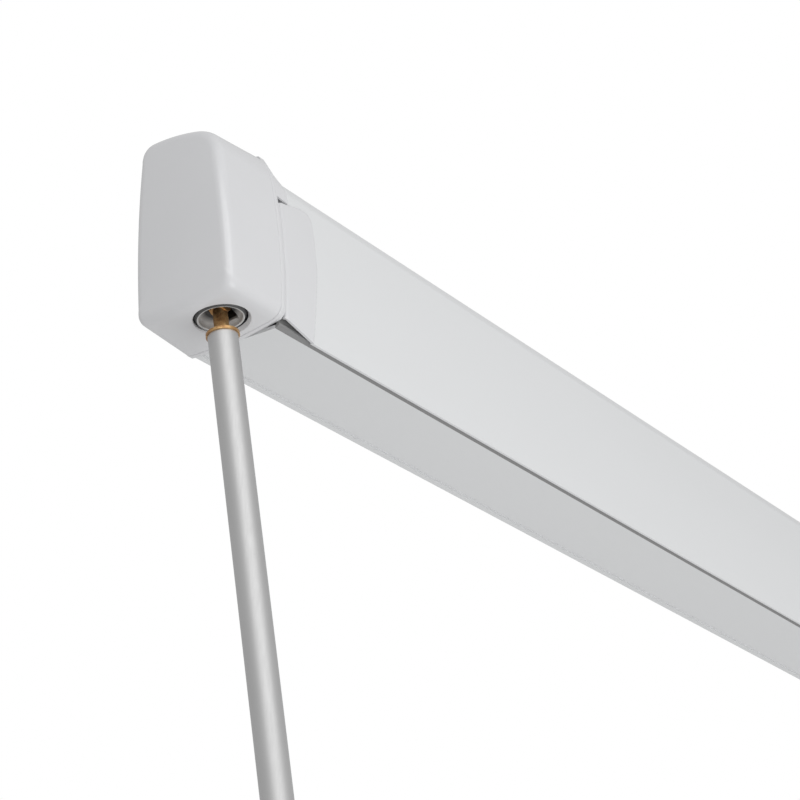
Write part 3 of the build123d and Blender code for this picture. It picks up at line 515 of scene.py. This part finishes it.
def cap_outline(three_arcs):
    """Three arcs and the straight runs between them, with rounded corners, as points of (y, z)."""
    arcs = [arc(shares, count) for shares, count in zip(three_arcs, ARC_COUNTS)]
    runs = [
        np.linspace(arcs[i][-1], arcs[(i + 1) % 3][0], RUN_COUNTS[i] + 2)[1:-1] for i in range(3)
    ]
    points = np.vstack([piece for pair in zip(arcs, runs) for piece in pair])
    front_corner = ARC_COUNTS[0] + RUN_COUNTS[0] // 2
    brow = front_corner + RUN_COUNTS[0] // 2 + ARC_COUNTS[1] + RUN_COUNTS[1] // 2
    ridge = brow + RUN_COUNTS[1] // 2 + ARC_COUNTS[2]
    corners = (0, front_corner, brow, ridge, len(points))
    reach = np.interp(np.arange(len(points)), corners, (CORNER_REACH[3], *CORNER_REACH))
    return eased(points, reach.astype(int))


# Every second point is kept, which is enough once the corners are round.
end_outline = cap_outline((END_FLOOR, FRONT_SHARES, END_ROOF))[::2]
seam_outline = cap_outline((SEAM_FLOOR, FRONT_SHARES, SEAM_ROOF))[::2]
seam_low, seam_high = seam_outline[:, 1].min() / MM, seam_outline[:, 1].max() / MM
print("cap outline:", len(end_outline), "points, seam from z", seam_low, "to", seam_high, "mm")

# %% [markdown]
# ## The cap's shell
#
# The cap's side is ruled between the two outlines, and its outer end is a shallow dome, a piece
# of a sphere with a radius of 620 mm. One grid runs from the seam along the side, over the edge
# and across the dome to its pole. The rows near the edge lie half a millimetre apart, and there a
# moving mean over 7 mm each way turns the sharp edge into a soft one. A wall of 2.4 mm is then
# added inwards.

# %% Cap grid
DOME_RADIUS = 0.620
DOME_CENTRE = np.array([END_X + DOME_RADIUS, -DEPTH / 2, 0.020])
POLE = np.array([-0.038, 0.004])
EDGE_REACH = 0.007
EDGE_STEP = 0.0005
LEAST_LEAN = 0.4
SIDE_ROWS = 7
DOME_ROWS = 12
DOME_FIRST = 0.08
CAP_WALL = 0.0024


def on_dome(points):
    """Puts (y, z) on the dome, at x = centre - root(radius squared - off squared)."""
    off = points - DOME_CENTRE[1:]
    x = DOME_CENTRE[0] - np.sqrt(DOME_RADIUS**2 - (off**2).sum(-1))
    return np.concatenate([x[..., None], points], -1)


def on_side(x):
    """Points of the side, ruled between the two outlines, at one x for each column."""
    share = np.clip((x - END_X) / (SEAM_X - END_X), 0, 1)[..., None]
    return np.concatenate([x[..., None], end_outline * (1 - share) + seam_outline * share], -1)


def cap_grid():
    """Rows from seam to pole: the side, the edge softened by a moving mean, and the dome."""
    edge = on_side(on_dome(end_outline)[:, 0])
    inward = POLE - edge[:, 1:]
    far = np.hypot(*inward.T)
    along = np.roll(edge[:, 1:], -1, 0) - np.roll(edge[:, 1:], 1, 0)
    normal = np.stack([-along[:, 1], along[:, 0]], -1) / np.hypot(*along.T)[:, None]
    square = np.abs((normal * inward).sum(1)) / far
    lean = np.clip(square, LEAST_LEAN, 1) * far
    fine = np.arange(EDGE_STEP, 2 * EDGE_REACH + EDGE_STEP / 2, EDGE_STEP)
    side = [on_side(edge[:, 0] + d) for d in fine[::-1]]
    face = [on_dome(edge[:, 1:] + inward * (d / lean)[:, None]) for d in fine]
    rows = np.array(side + [edge] + face)
    half = len(fine) // 2
    sums = np.concatenate([np.zeros((1, *rows.shape[1:])), np.cumsum(rows, 0)])
    soft = (sums[2 * half + 1:] - sums[:-2 * half - 1]) / (2 * half + 1)
    start = rows[0, :, 0]
    seam = SEAM_X - SEAM_GROOVE
    coarse = [on_side(seam + (start - seam) * t) for t in np.linspace(0, 1, SIDE_ROWS)]
    last = rows[-1, :, 1:]
    dome = [on_dome(last + (POLE - last) * t) for t in np.linspace(DOME_FIRST, 1, DOME_ROWS)]
    return np.concatenate([coarse, soft, rows[-1:], dome])


cap_points = cap_grid()
cap_faces = quads(*cap_points.shape[:2], close_columns=True)
left_cap = welded(surface("left_cap_shell", cap_points, cap_faces, CAP))
cap_x = cap_points[..., 0] / MM
print("cap grid:", cap_points.shape, "from x", cap_x.min(), "to", cap_x.max(), "mm")


# %% [markdown]
# A wall comes from the Solidify modifier. It is applied at once, so that later steps such as the
# hole cut the finished wall, and so that a mirrored copy has it too.


# %% Walls and their modifiers
def applied(piece):
    """Replaces a piece's mesh by what its modifiers make of it."""
    bpy.context.view_layer.update()
    shaped = piece.evaluated_get(bpy.context.evaluated_depsgraph_get())
    made = bpy.data.meshes.new_from_object(shaped)
    piece.modifiers.clear()
    piece.data = made
    return piece


def walled(piece, thickness):
    """Gives an open surface a wall inwards from its outer face."""
    solid = piece.modifiers.new("wall", "SOLIDIFY")
    solid.thickness = thickness
    solid.offset = -1.0
    return applied(piece)


def cut_with(piece, cutter, operation):
    """Cuts a piece with a cutter and removes the cutter."""
    cut = piece.modifiers.new("cut", "BOOLEAN")
    cut.object = cutter
    cut.operation = operation
    cut.solver = "EXACT"
    applied(piece)
    bpy.data.objects.remove(cutter)
    return piece


walled(left_cap, CAP_WALL)
right_cap = mirrored(left_cap, "right_cap_shell")
print("cap faces:", len(left_cap.data.polygons))

# %% [markdown]
# ## The hole for the crank
#
# The crank's cup shows through a round hole in the floor of the left cap. The crank leans 9.5
# degrees from the vertical, and the hole is square to it. Its rim is bevelled. A cutter that is a
# cylinder with a flared foot makes both at once: a profile of drops and radii, carried round the
# crank's axis.

# %% Crank axis and the cap with its hole
CRANK_LEAN = np.radians(9.5)
CRANK_TOP = np.array([-1.264, -0.035, 0.026])
CRANK_DOWN = np.array([0.0, -np.sin(CRANK_LEAN), -np.cos(CRANK_LEAN)])
CRANK_SIDE = np.array([1.0, 0.0, 0.0])
CRANK_ACROSS = np.cross(CRANK_DOWN, CRANK_SIDE)
HOLE_PROFILE = np.array([(0, 60), (18, 60), (18, 85.3), (19.4, 87.0), (23, 91.4), (0, 91.4)]) * MM
CAP_SHARP = np.radians(28)


def turned(profile, count=96):
    """Each (radius, drop) goes to the axis's point at that drop plus the radius times a ring."""
    t = np.linspace(0, 2 * np.pi, count, endpoint=False)
    ring = np.cos(t)[:, None] * CRANK_SIDE + np.sin(t)[:, None] * CRANK_ACROSS
    return CRANK_TOP + profile[:, 1, None, None] * CRANK_DOWN + profile[:, 0, None, None] * ring


def turned_piece(name, profile, material, count=96):
    """A closed surface turned about the crank's axis."""
    points = turned(profile, count)
    return welded(surface(name, points, quads(*points.shape[:2], close_columns=True), material))


cut_with(left_cap, turned_piece("hole cutter", HOLE_PROFILE, CAP), "DIFFERENCE")
for piece, side in ((left_cap, "left"), (right_cap, "right")):
    piece.data.set_sharp_from_angle(angle=CAP_SHARP)
    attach(piece, "cassette")
    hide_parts(side + "_end_cap")
print("cap faces with the hole:", len(left_cap.data.polygons))

# %% [markdown]
# ## The hood between cap and cassette
#
# The cap is larger than the cassette. A short hood behind the end plate brings its roof and brow
# down to the profile's size. It is the upper part of the seam's outline, ruled to the section
# of the front panel, with a wall of 1.4 mm. Its foot rises a little from the panel to the cap.

# %% Hood
RAIL_FRONT = ((0.956, -0.38), (0.918, 0.01), (0.825, 0.36))
RAIL_CROWN = ((0.825, 0.36), (0.765, 0.424), (0.66, 0.477))
HOOD_START = -1.2335
HOOD_END = -1.2212
HOOD_FOOT = 0.0378
HOOD_TIP = 0.0358
HOOD_RISE = 0.0009
HOOD_WALL = 0.0014
HOOD_REAR = -0.0015
HOOD_SHARP = np.radians(35)
PLATE_INSET = 0.0012
FRONT_COUNT = 120
CROWN_COUNT = 30


def drawn_in(points, distance):
    """A closed line moved inwards, square to itself."""
    along = np.roll(points, -1, 0) - np.roll(points, 1, 0)
    normal = np.stack([-along[:, 1], along[:, 0]], -1) / np.hypot(*along.T)[:, None]
    turn = np.sign((normal * (POLE - points)).sum())
    return points + turn * distance * normal


def evenly(line, count):
    """An open line resampled to this many points, at even steps of its length."""
    run = np.r_[0, np.cumsum(np.hypot(*np.diff(line, axis=0).T))]
    at = np.linspace(0, run[-1], count)
    return np.stack([np.interp(at, run, line[:, i]) for i in range(2)], -1)


def hood_grid(count=140):
    """Rows from the end plate to the panel, over the brow and the roof, ruled between two lines."""
    rim = drawn_in(seam_outline, PLATE_INSET)
    rim = rim[(rim[:, 1] > HOOD_FOOT) & (rim[:, 0] < HOOD_REAR)]
    panel = np.vstack([arc(RAIL_FRONT, FRONT_COUNT), arc(RAIL_CROWN, CROWN_COUNT)[1:]])
    panel = panel[panel[:, 1] > HOOD_TIP] + (-HOOD_RISE * 0.7, HOOD_RISE * 0.7)
    panel = np.vstack([panel, [(HOOD_REAR, panel[-1, 1])]])
    first, last = evenly(rim, count), evenly(panel, count)
    shares = np.linspace(0, 1, 5)[:, None, None]
    yz = first * (1 - shares) + last * shares
    x = np.broadcast_to(HOOD_START + (HOOD_END - HOOD_START) * shares, (*yz.shape[:2], 1))
    return np.concatenate([x, yz], -1)


hood_points = hood_grid()
left_hood = surface("left_hood", hood_points, quads(*hood_points.shape[:2]), CAP)
turned_out(left_hood, (HOOD_START, *POLE))
walled(left_hood, HOOD_WALL)
left_hood.data.set_sharp_from_angle(angle=HOOD_SHARP)
right_hood = mirrored(left_hood, "right_hood")
for piece in (left_hood, right_hood):
    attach(piece, "cassette")
print("hood points:", hood_points.shape)

# %% [markdown]
# ## Rim, web and seal lip
#
# The end plate shows beside the cap as a narrow rim with softened edges, one groove away from the
# cap. Behind the notch under the hood lies a small web, and the seal has a lip that closes the
# wedge under the end piece. The web and the lip are flat, so each is a slab with bevelled edges.

# %% Rim, web and lip
RIM_SOFT = 0.0010
RIM_INSET = 0.0002
RIM_END = -1.2352
RIM_WALL = 0.0016
SHARP = np.radians(40)
SLAB_SOFT = 0.0003
WEB_BOX = ((-1.2333, -0.0642, 0.0330), (-1.2206, -0.0632, 0.0430))
LIP_BOX = ((-1.2333, -0.0715, -0.0570), (-1.1990, -0.0705, -0.0508))
BOX_SIDES = np.array([
    [0, 1, 3, 2], [4, 6, 7, 5], [0, 4, 5, 1], [2, 3, 7, 6], [0, 2, 6, 4], [1, 5, 7, 3]
])


def rim_grid():
    """The seam's outline carried along X, drawn in at both edges by a quarter turn."""
    turn = np.radians(np.linspace(0, 90, 5))
    soft = RIM_SOFT * (1 - np.sin(turn))
    ease = RIM_SOFT * (1 - np.cos(turn))
    x = np.r_[SEAM_X + ease, RIM_END - ease[::-1]]
    inset = RIM_INSET + np.r_[soft, soft[::-1]]
    lines = [drawn_in(seam_outline, distance) for distance in inset]
    return np.array([np.column_stack([np.full(len(line), at), line]) for at, line in zip(x, lines)])


def box_corners(low, high):
    """The eight corners of a box, with X changing slowest."""
    return np.stack(np.meshgrid(*zip(low, high), indexing="ij"), -1).reshape(-1, 3)


def slab(name, box, material):
    """A box with edges softened by a bevel."""
    piece = surface(name, box_corners(*box), BOX_SIDES, material, smooth=False)
    bevel = piece.modifiers.new("soft edge", "BEVEL")
    bevel.width = SLAB_SOFT
    bevel.segments = 2
    return applied(piece)


rim_points = rim_grid()
rim_faces = quads(*rim_points.shape[:2], close_columns=True)
left_rim = walled(welded(surface("left_rim", rim_points, rim_faces, CAP)), RIM_WALL)
left_rim.data.set_sharp_from_angle(angle=SHARP)
left_web = slab("left_hood_web", WEB_BOX, CAP)
left_lip = slab("left_seal_lip", LIP_BOX, RUBBER)
for piece, slot_name in (
    (left_rim, "plate_paint"), (left_web, "cap_plastic"), (left_lip, "seal_rubber")
):
    for one in (piece, mirrored(piece, piece.name.replace("left", "right"))):
        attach(one, "cassette")
print("rim points:", rim_points.shape)

# %% [markdown]
# ## The end pieces of the front panel
#
# A moulding closes each end of the front panel. It stands 0.7 mm proud of the panel, has a rounded
# top corner and a soft outer edge, and leaves room for the hood above it. It is the panel's outer
# line, carried along X from the outer end to just over the panel. How far a point stands proud
# depends on its distance from the moulding's border.

# %% Section of the panel and sizes of the end piece
RAIL_FOOT = -0.473 * HEIGHT
PROUD = 0.0007
PANEL_SLIP = 0.00004
RAIL_SKIN = 0.0018
RAIL_END_X = -1.2315
RAIL_INNER_X = -1.1920
SOFT_EDGE = 0.003
SKIN_COUNT = 170
CORNER = 0.008
BORDER_Z = (-0.060, -0.026, -0.006, 0.015, 0.036)
BORDER_X = (-1.2003, -1.1972, -1.1949, -1.1944, -1.1940)
BORDER_TOP_X = (-1.222, -1.205)
BORDER_TOP_Z = (0.0365, 0.0400)
BORDER_BLEND = 0.0006
NOTCH_Z = 0.0345
NOTCH_BLEND = 0.0015
NOTCH_LENGTH = 0.0109
RISE = 0.007
RISE_X = (-1.2315, -1.2005)
RISE_Z = (-0.060, -0.045)

foot = (section(RAIL_FRONT[0])[0], RAIL_FOOT)
skin = np.vstack([[foot], arc(RAIL_FRONT, FRONT_COUNT), arc(RAIL_CROWN, CROWN_COUNT)[1:]])
skin = evenly(skin, SKIN_COUNT)
print("panel's outer line:", skin.shape, "points")


# %% Border and rows of the end piece
def border(x, z):
    """How far a point lies inside the moulding's border, in metres, with a rounded top corner."""
    right = np.interp(z, BORDER_Z, BORDER_X) - x
    top = np.interp(x, BORDER_TOP_X, BORDER_TOP_Z) - z
    nook = CORNER - np.hypot(np.maximum(CORNER - right, 0), np.maximum(CORNER - top, 0))
    return np.where((right < CORNER) & (top < CORNER), nook, np.minimum(right, top))


def rail_end_row(x, inset, normal):
    """The panel's outer line at one x: proud inside the border, and raised at the outer foot."""
    inside = np.clip(border(x, skin[:, 1]) / BORDER_BLEND, 0, 1)
    proud = PANEL_SLIP + PROUD * inside * inside * (3 - 2 * inside)
    yz = skin + normal * (proud - inset)[:, None]
    outer = np.clip((RISE_X[1] - x) / (RISE_X[1] - RISE_X[0]), 0, 1)
    low = np.clip((RISE_Z[1] - skin[:, 1]) / (RISE_Z[1] - RISE_Z[0]), 0, 1)
    return np.column_stack([x, yz[:, 0], yz[:, 1] + RISE * outer * low])


def rail_end_grid():
    """Rows from the softened outer edge, which leaves room for the hood, to the inner end."""
    along = np.gradient(skin, axis=0)
    normal = np.stack([along[:, 1], -along[:, 0]], -1) / np.hypot(*along.T)[:, None]
    normal *= np.sign((normal * (skin - POLE)).sum())
    notch = np.clip((skin[:, 1] - NOTCH_Z) / NOTCH_BLEND, 0, 1) * NOTCH_LENGTH
    outer_x = RAIL_END_X + notch
    start = outer_x + SOFT_EDGE
    turn = np.radians(np.linspace(0, 90, 9))
    rows = [(start - SOFT_EDGE * np.cos(a), SOFT_EDGE * (1 - np.sin(a))) for a in turn]
    rows += [(start + (RAIL_INNER_X - start) * t, 0.0) for t in np.linspace(0, 1, 81)[1:]]
    return np.array([rail_end_row(x, inset, normal) for x, inset in rows])


# %% [markdown]
# Inside its border the moulding has the cap's plastic. The rest of the surface continues the panel,
# so its faces get the powder coat. The wall is added after that and takes each face's finish.

# %% End piece
INSIDE = (-1.21, -0.03, 0.0)
PANEL_FROM = 0.0001
rail_points = rail_end_grid()
left_rail_end = surface("left_rail_end", rail_points, quads(*rail_points.shape[:2]), CAP)
turned_out(left_rail_end, INSIDE)
left_rail_end.data.materials.append(PAINT)
centres = np.empty(len(left_rail_end.data.polygons) * 3, np.float32)
left_rail_end.data.polygons.foreach_get("center", centres)
centres = centres.reshape(-1, 3)
is_panel = (border(centres[:, 0], centres[:, 2]) < PANEL_FROM).astype(np.int32)
left_rail_end.data.polygons.foreach_set("material_index", is_panel)
walled(left_rail_end, RAIL_SKIN)
left_rail_end.data.set_sharp_from_angle(angle=SHARP)
print("rail end:", rail_points.shape)

# %% [markdown]
# Inside the moulding a wall closes its outer end, from the panel's line back to the hood's web.

# %% Closing wall
CLOSING_FOOT = -0.050
CLOSING_SLIP = 0.0026
CLOSING_REAR = -0.0625
CLOSING_INSET = 0.0006

closing = evenly(skin, 60)
closing = closing[(closing[:, 1] > CLOSING_FOOT) & (closing[:, 1] < NOTCH_Z)] + (CLOSING_SLIP, 0)
shares = np.linspace(0, 1, 5)
closing_grid = np.empty((len(closing), len(shares), 3))
closing_grid[..., 0] = RAIL_END_X + CLOSING_INSET
closing_grid[..., 1] = closing[:, :1] + (CLOSING_REAR - closing[:, :1]) * shares
closing_grid[..., 2] = closing[:, 1:]
closing_faces = quads(*closing_grid.shape[:2])
left_closing = surface("left_rail_end_wall", closing_grid, closing_faces, CAP)
walled(turned_out(left_closing, INSIDE), RAIL_SKIN)
print("closing wall:", closing_grid.shape)

# %% [markdown]
# A tongue carries the stub that a leg turns on. It is cut from a copy of the CAD mesh, whose loose
# triangles are merged first. Then all three parts of the end piece get their twins on the right.

# %% Leg stub and the twins
STUB_BOX = ((-1.2300, -0.0712, -0.022), (-1.150, 0.0, 0.008))
STUB_SHARP = np.radians(30)

tongue = bpy.data.objects.new("left_leg_stub", nodes["left_rail_end_cap"].data.copy())
bpy.context.scene.collection.objects.link(tongue)
tongue.data.materials.clear()
tongue.data.materials.append(CAP)
stub_box = surface("cutter", box_corners(*STUB_BOX), BOX_SIDES, None, smooth=False)
cut_with(welded(tongue), stub_box, "INTERSECT")
tongue.data.set_sharp_from_angle(angle=STUB_SHARP)
for piece in (left_rail_end, left_closing, tongue):
    twin = mirrored(piece, piece.name.replace("left", "right"))
    for one, side in ((piece, "left"), (twin, "right")):
        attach(one, "lead_rail")
        if piece is left_rail_end:
            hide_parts(side + "_rail_end_cap")
print("tongue faces:", len(tongue.data.polygons))

# %% [markdown]
# ## The swivel cup
#
# The crank's hook sits in a cup that tilts like a ball in its socket. From below it shows a light
# rim and a dish with a slot across it. The outside is a ball of 18.75 mm radius round the pivot, so
# it stays clear of the hole's wall when it tilts. The dish is turned round the crank's axis and
# the slot is cut through it. Its colour has painted shade: near black deep in the dish, and near
# black on the ball's outside, where the gap round the cup lies in shadow.

# %% Cup
PIVOT_DROP = 0.076
BALL_RADIUS = 0.01875
CUP_TOP_ANGLE = 122
CUP_RIM_ANGLE = 58
CUP_RIM_IN = np.array([0.0001, 0.0004, 0.0008, 0.0012])
CUP_RIM_DOWN = np.array([0.00025, 0.0004, 0.0004, 0.0002])
DISH_INSET = 0.0015
DISH_START = 0.0001
DISH_DEPTH = 0.0080
SLOT_BOX = ((-0.0125, -0.0056, 0.069), (0.0125, 0.0056, 0.095))
# The two near black tones below are painted shade: one for the dish's depth, one for the gap round
# the cup.
GAP_SHADE_SPREAD = 0.0184
DISH_SHADE_DROP = 0.0798
PAINTED_DISH_SHADE = (0.018, 0.017, 0.016)
PAINTED_GAP_SHADE = (0.012, 0.012, 0.012)


def cup_profile():
    """Radii and drops: the ball's zone, round the rim, and a quarter ellipse down the dish."""
    a = np.radians(np.linspace(CUP_TOP_ANGLE, CUP_RIM_ANGLE, 24))
    ball = np.stack([BALL_RADIUS * np.sin(a), PIVOT_DROP + BALL_RADIUS * np.cos(a)], -1)
    r, d = ball[-1]
    rim = np.stack([r - CUP_RIM_IN, d + CUP_RIM_DOWN], -1)
    a = np.linspace(0, 1, 12) * np.pi / 2
    dish = np.stack([(r - DISH_INSET) * np.cos(a), d - DISH_START - DISH_DEPTH * np.sin(a)], -1)
    return np.vstack([[(0, ball[0, 1])], ball, rim, dish])


def cup_with_painted_shade(place):
    cloud = noise(place, 0.004, 4.0, 0.6)
    axis = {0: place, 1: tuple(CRANK_DOWN)}
    along = place.node("VectorMath", axis, out=1, operation="DOT_PRODUCT")
    drop = along - float(CRANK_TOP @ CRANK_DOWN)
    ball = {0: place, 1: tuple(CRANK_TOP + CRANK_DOWN * PIVOT_DROP)}
    spread = place.node("VectorMath", ball, out=1, operation="DISTANCE")
    # Painted shade: beyond the ball's spread the colour turns near black for the shadowed gap, and
    # deeper in the dish than the drop it turns near black too.
    outside = ((spread - GAP_SHADE_SPREAD) * 2500.0).clamp()
    unshaded_share = ((drop - DISH_SHADE_DROP) * 380.0).clamp()
    plain = cloud.mix((0.42, 0.42, 0.42), (0.62, 0.62, 0.61))
    return {
        "Base Color": outside.mix(unshaded_share.mix(PAINTED_DISH_SHADE, plain), PAINTED_GAP_SHADE),
        "Roughness": 0.3 + cloud * 0.2,
        "Normal": bumps(place, cloud, 0.00015),
    }


cup = turned_piece("slotted_cup", cup_profile(), finish("cup with painted shade", cup_with_painted_shade))
slot_points = CRANK_TOP + box_corners(*SLOT_BOX) @ np.stack([CRANK_SIDE, CRANK_ACROSS, CRANK_DOWN])
slot_box = surface("slot cutter", slot_points, BOX_SIDES, CAP, smooth=False)
cut_with(cup, welded(slot_box), "DIFFERENCE")
cup.data.set_sharp_from_angle(angle=STUB_SHARP)
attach(cup, "cup")
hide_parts("swivel_cup")
print("cup faces:", len(cup.data.polygons))

# %% [markdown]
# ## The cloth
#
# The closed awning has nearly two metres of cloth on its roller. It is one sheet of coated weave,
# half a millimetre thick, so it lies in a spiral: the radius grows by one thickness with each
# turn. A second, short sheet leads from the roll to the front panel; it is attached to neither
# body. Two crossed wave bands, about one thread to the millimetre, give its surface.


# %% Awning cloth
def awning_cloth(place):
    bands = {"Vector": place, "Scale": 320.0, "Distortion": 0.0}
    threads = place.node("TexWave", bands, bands_direction="X", out=1)
    picks = place.node("TexWave", bands, bands_direction="DIAGONAL", out=1)
    cloud = noise(place, 0.12, 3.0)
    weave = threads * 0.5 + picks * 0.5
    tone = (cloud * 0.7 + weave * 0.3).clamp()
    return {
        "Base Color": tone.mix((0.40, 0.41, 0.42), (0.47, 0.48, 0.49)),
        "Roughness": 0.62 + weave * 0.12,
        "Normal": bumps(place, weave, 0.00005),
    }


CLOTH = finish("awning cloth", awning_cloth)

# %% Cloth on the roller
ROLLER_AXIS = np.array([-0.035, 0.026])
ROLLER_RADIUS = 0.022
ROLL_RADIUS = 0.02849
CLOTH_THICKNESS = 0.0005
SHEET_WALL = 0.8 * CLOTH_THICKNESS
FIRST_LAYER = 0.9
OUTLET_ANGLE = np.radians(98)
CLOTH_HALF = 1.2135


def wound_sheet(per_turn=64, columns=25):
    """A spiral about the roller's axis, whose radius grows by one thickness with each turn."""
    turns = (ROLL_RADIUS - ROLLER_RADIUS) / CLOTH_THICKNESS - FIRST_LAYER
    t = np.linspace(0, turns, int(turns * per_turn))
    angle = OUTLET_ANGLE - 2 * np.pi * (turns - t)
    radius = ROLLER_RADIUS + CLOTH_THICKNESS * (FIRST_LAYER + t)
    yz = ROLLER_AXIS + radius[:, None] * np.stack([np.cos(angle), np.sin(angle)], -1)
    grid = np.empty((len(t), columns, 3))
    grid[..., 0] = np.linspace(-CLOTH_HALF, CLOTH_HALF, columns)
    grid[..., 1:] = yz[:, None]
    return grid, np.hypot(*np.diff(yz, axis=0).T).sum()


wound, wound_length = wound_sheet()
cloth_roll = surface("wound_cloth", wound, quads(*wound.shape[:2])[:, ::-1], CLOTH)
walled(cloth_roll, SHEET_WALL)
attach(cloth_roll, "roller")
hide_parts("cloth_roll")
print("wound cloth, length in m:", round(wound_length, 3))

# %% Cloth from the roll to the panel
LEAD_START = (-0.0388, 0.05435)
LEAD_END = (-0.0546, 0.05435)
LEAD_SAG = 0.0002


def lead_sheet(rows=24, columns=41):
    """A grid between two edges, with a sag of a fifth of a millimetre between them."""
    t = np.linspace(0, 1, rows)
    yz = np.outer(1 - t, LEAD_START) + np.outer(t, LEAD_END)
    yz[:, 1] -= 4 * LEAD_SAG * t * (1 - t)
    grid = np.empty((rows, columns, 3))
    grid[..., 0] = np.linspace(-CLOTH_HALF, CLOTH_HALF, columns)
    grid[..., 1:] = yz[:, None]
    return grid, np.hypot(*np.diff(yz, axis=0).T).sum()


lead, lead_length = lead_sheet()
cloth_lead = surface("lead_cloth", lead, quads(*lead.shape[:2])[:, ::-1], CLOTH)
walled(cloth_lead, SHEET_WALL)
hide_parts("cloth_sheet")
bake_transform(cloth_lead)
print("lead cloth, length in mm:", round(lead_length / MM, 2))

# %% [markdown]
# ## Floor, backdrop and light
#
# The awning hangs at head height, so the floor lies 2.1 m below it. The world gives a plain even
# light, and it shows as white to the camera. Two large soft lamps model the forms.

# %% World
world = bpy.data.worlds.new("studio")
bpy.context.scene.world = world
world.use_nodes = True
world.node_tree.nodes.clear()
sky = Wire(world.node_tree)
AMBIENT = 0.65
rays = sky.node("LightPath")
seen = Wire(rays.tree, rays.socket.node.outputs["Is Camera Ray"])
clear = Wire(rays.tree, rays.socket.node.outputs["Is Transmission Ray"])
strength = AMBIENT + (1.0 - AMBIENT) * sky.maths("MAXIMUM", seen, clear)
light = sky.node("Background", {"Color": (1.0, 1.0, 1.0, 1.0), "Strength": strength})
output = world.node_tree.nodes.new("ShaderNodeOutputWorld")
world.node_tree.links.new(light.socket, output.inputs["Surface"])


# %% Floor
def pale_floor(place):
    cloud = noise(place, 0.8, 2.0)
    return {"Base Color": cloud.mix((0.86, 0.86, 0.86), (0.9, 0.9, 0.9)), "Roughness": 0.8}


FLOOR_DROP = -2.1
FLOOR_HALF = 9.0
corners = np.array([(-1, -1), (1, -1), (1, 1), (-1, 1)]) * FLOOR_HALF
floor_points = np.column_stack([corners, np.full(4, FLOOR_DROP)])
floor_face = np.array([[0, 1, 2, 3]])
floor = surface("floor", floor_points, floor_face, finish("pale floor", pale_floor), smooth=False)


# %% Lamps
def lamp(name, place, target, size, power):
    """A soft lamp with this width and height at a place, turned to its target."""
    data = bpy.data.lights.new(name, "AREA")
    data.shape = "RECTANGLE"
    data.size, data.size_y = size
    data.energy = power
    lamp_object = bpy.data.objects.new(name, data)
    away = np.array(place, float) - np.array(target, float)
    away /= np.linalg.norm(away)
    side = np.cross((0, 0, 1), away)
    side /= np.linalg.norm(side)
    lamp_object.visible_camera = False
    lamp_object.matrix_world = placed(side, np.cross(away, side), away, place)
    bpy.context.scene.collection.objects.link(lamp_object)
    return lamp_object


lamp("low lamp", (-0.9, -1.4, -2.0), (-0.9, 0, -0.1), (3.0, 3.0), 54)
lamp("edge lamp", (-2.95, -2.1, 1.4), (-1.27, -0.06, 0.0), (4.2, 1.5), 47)

# %% View transform
bpy.context.scene.view_settings.view_transform = "Standard"
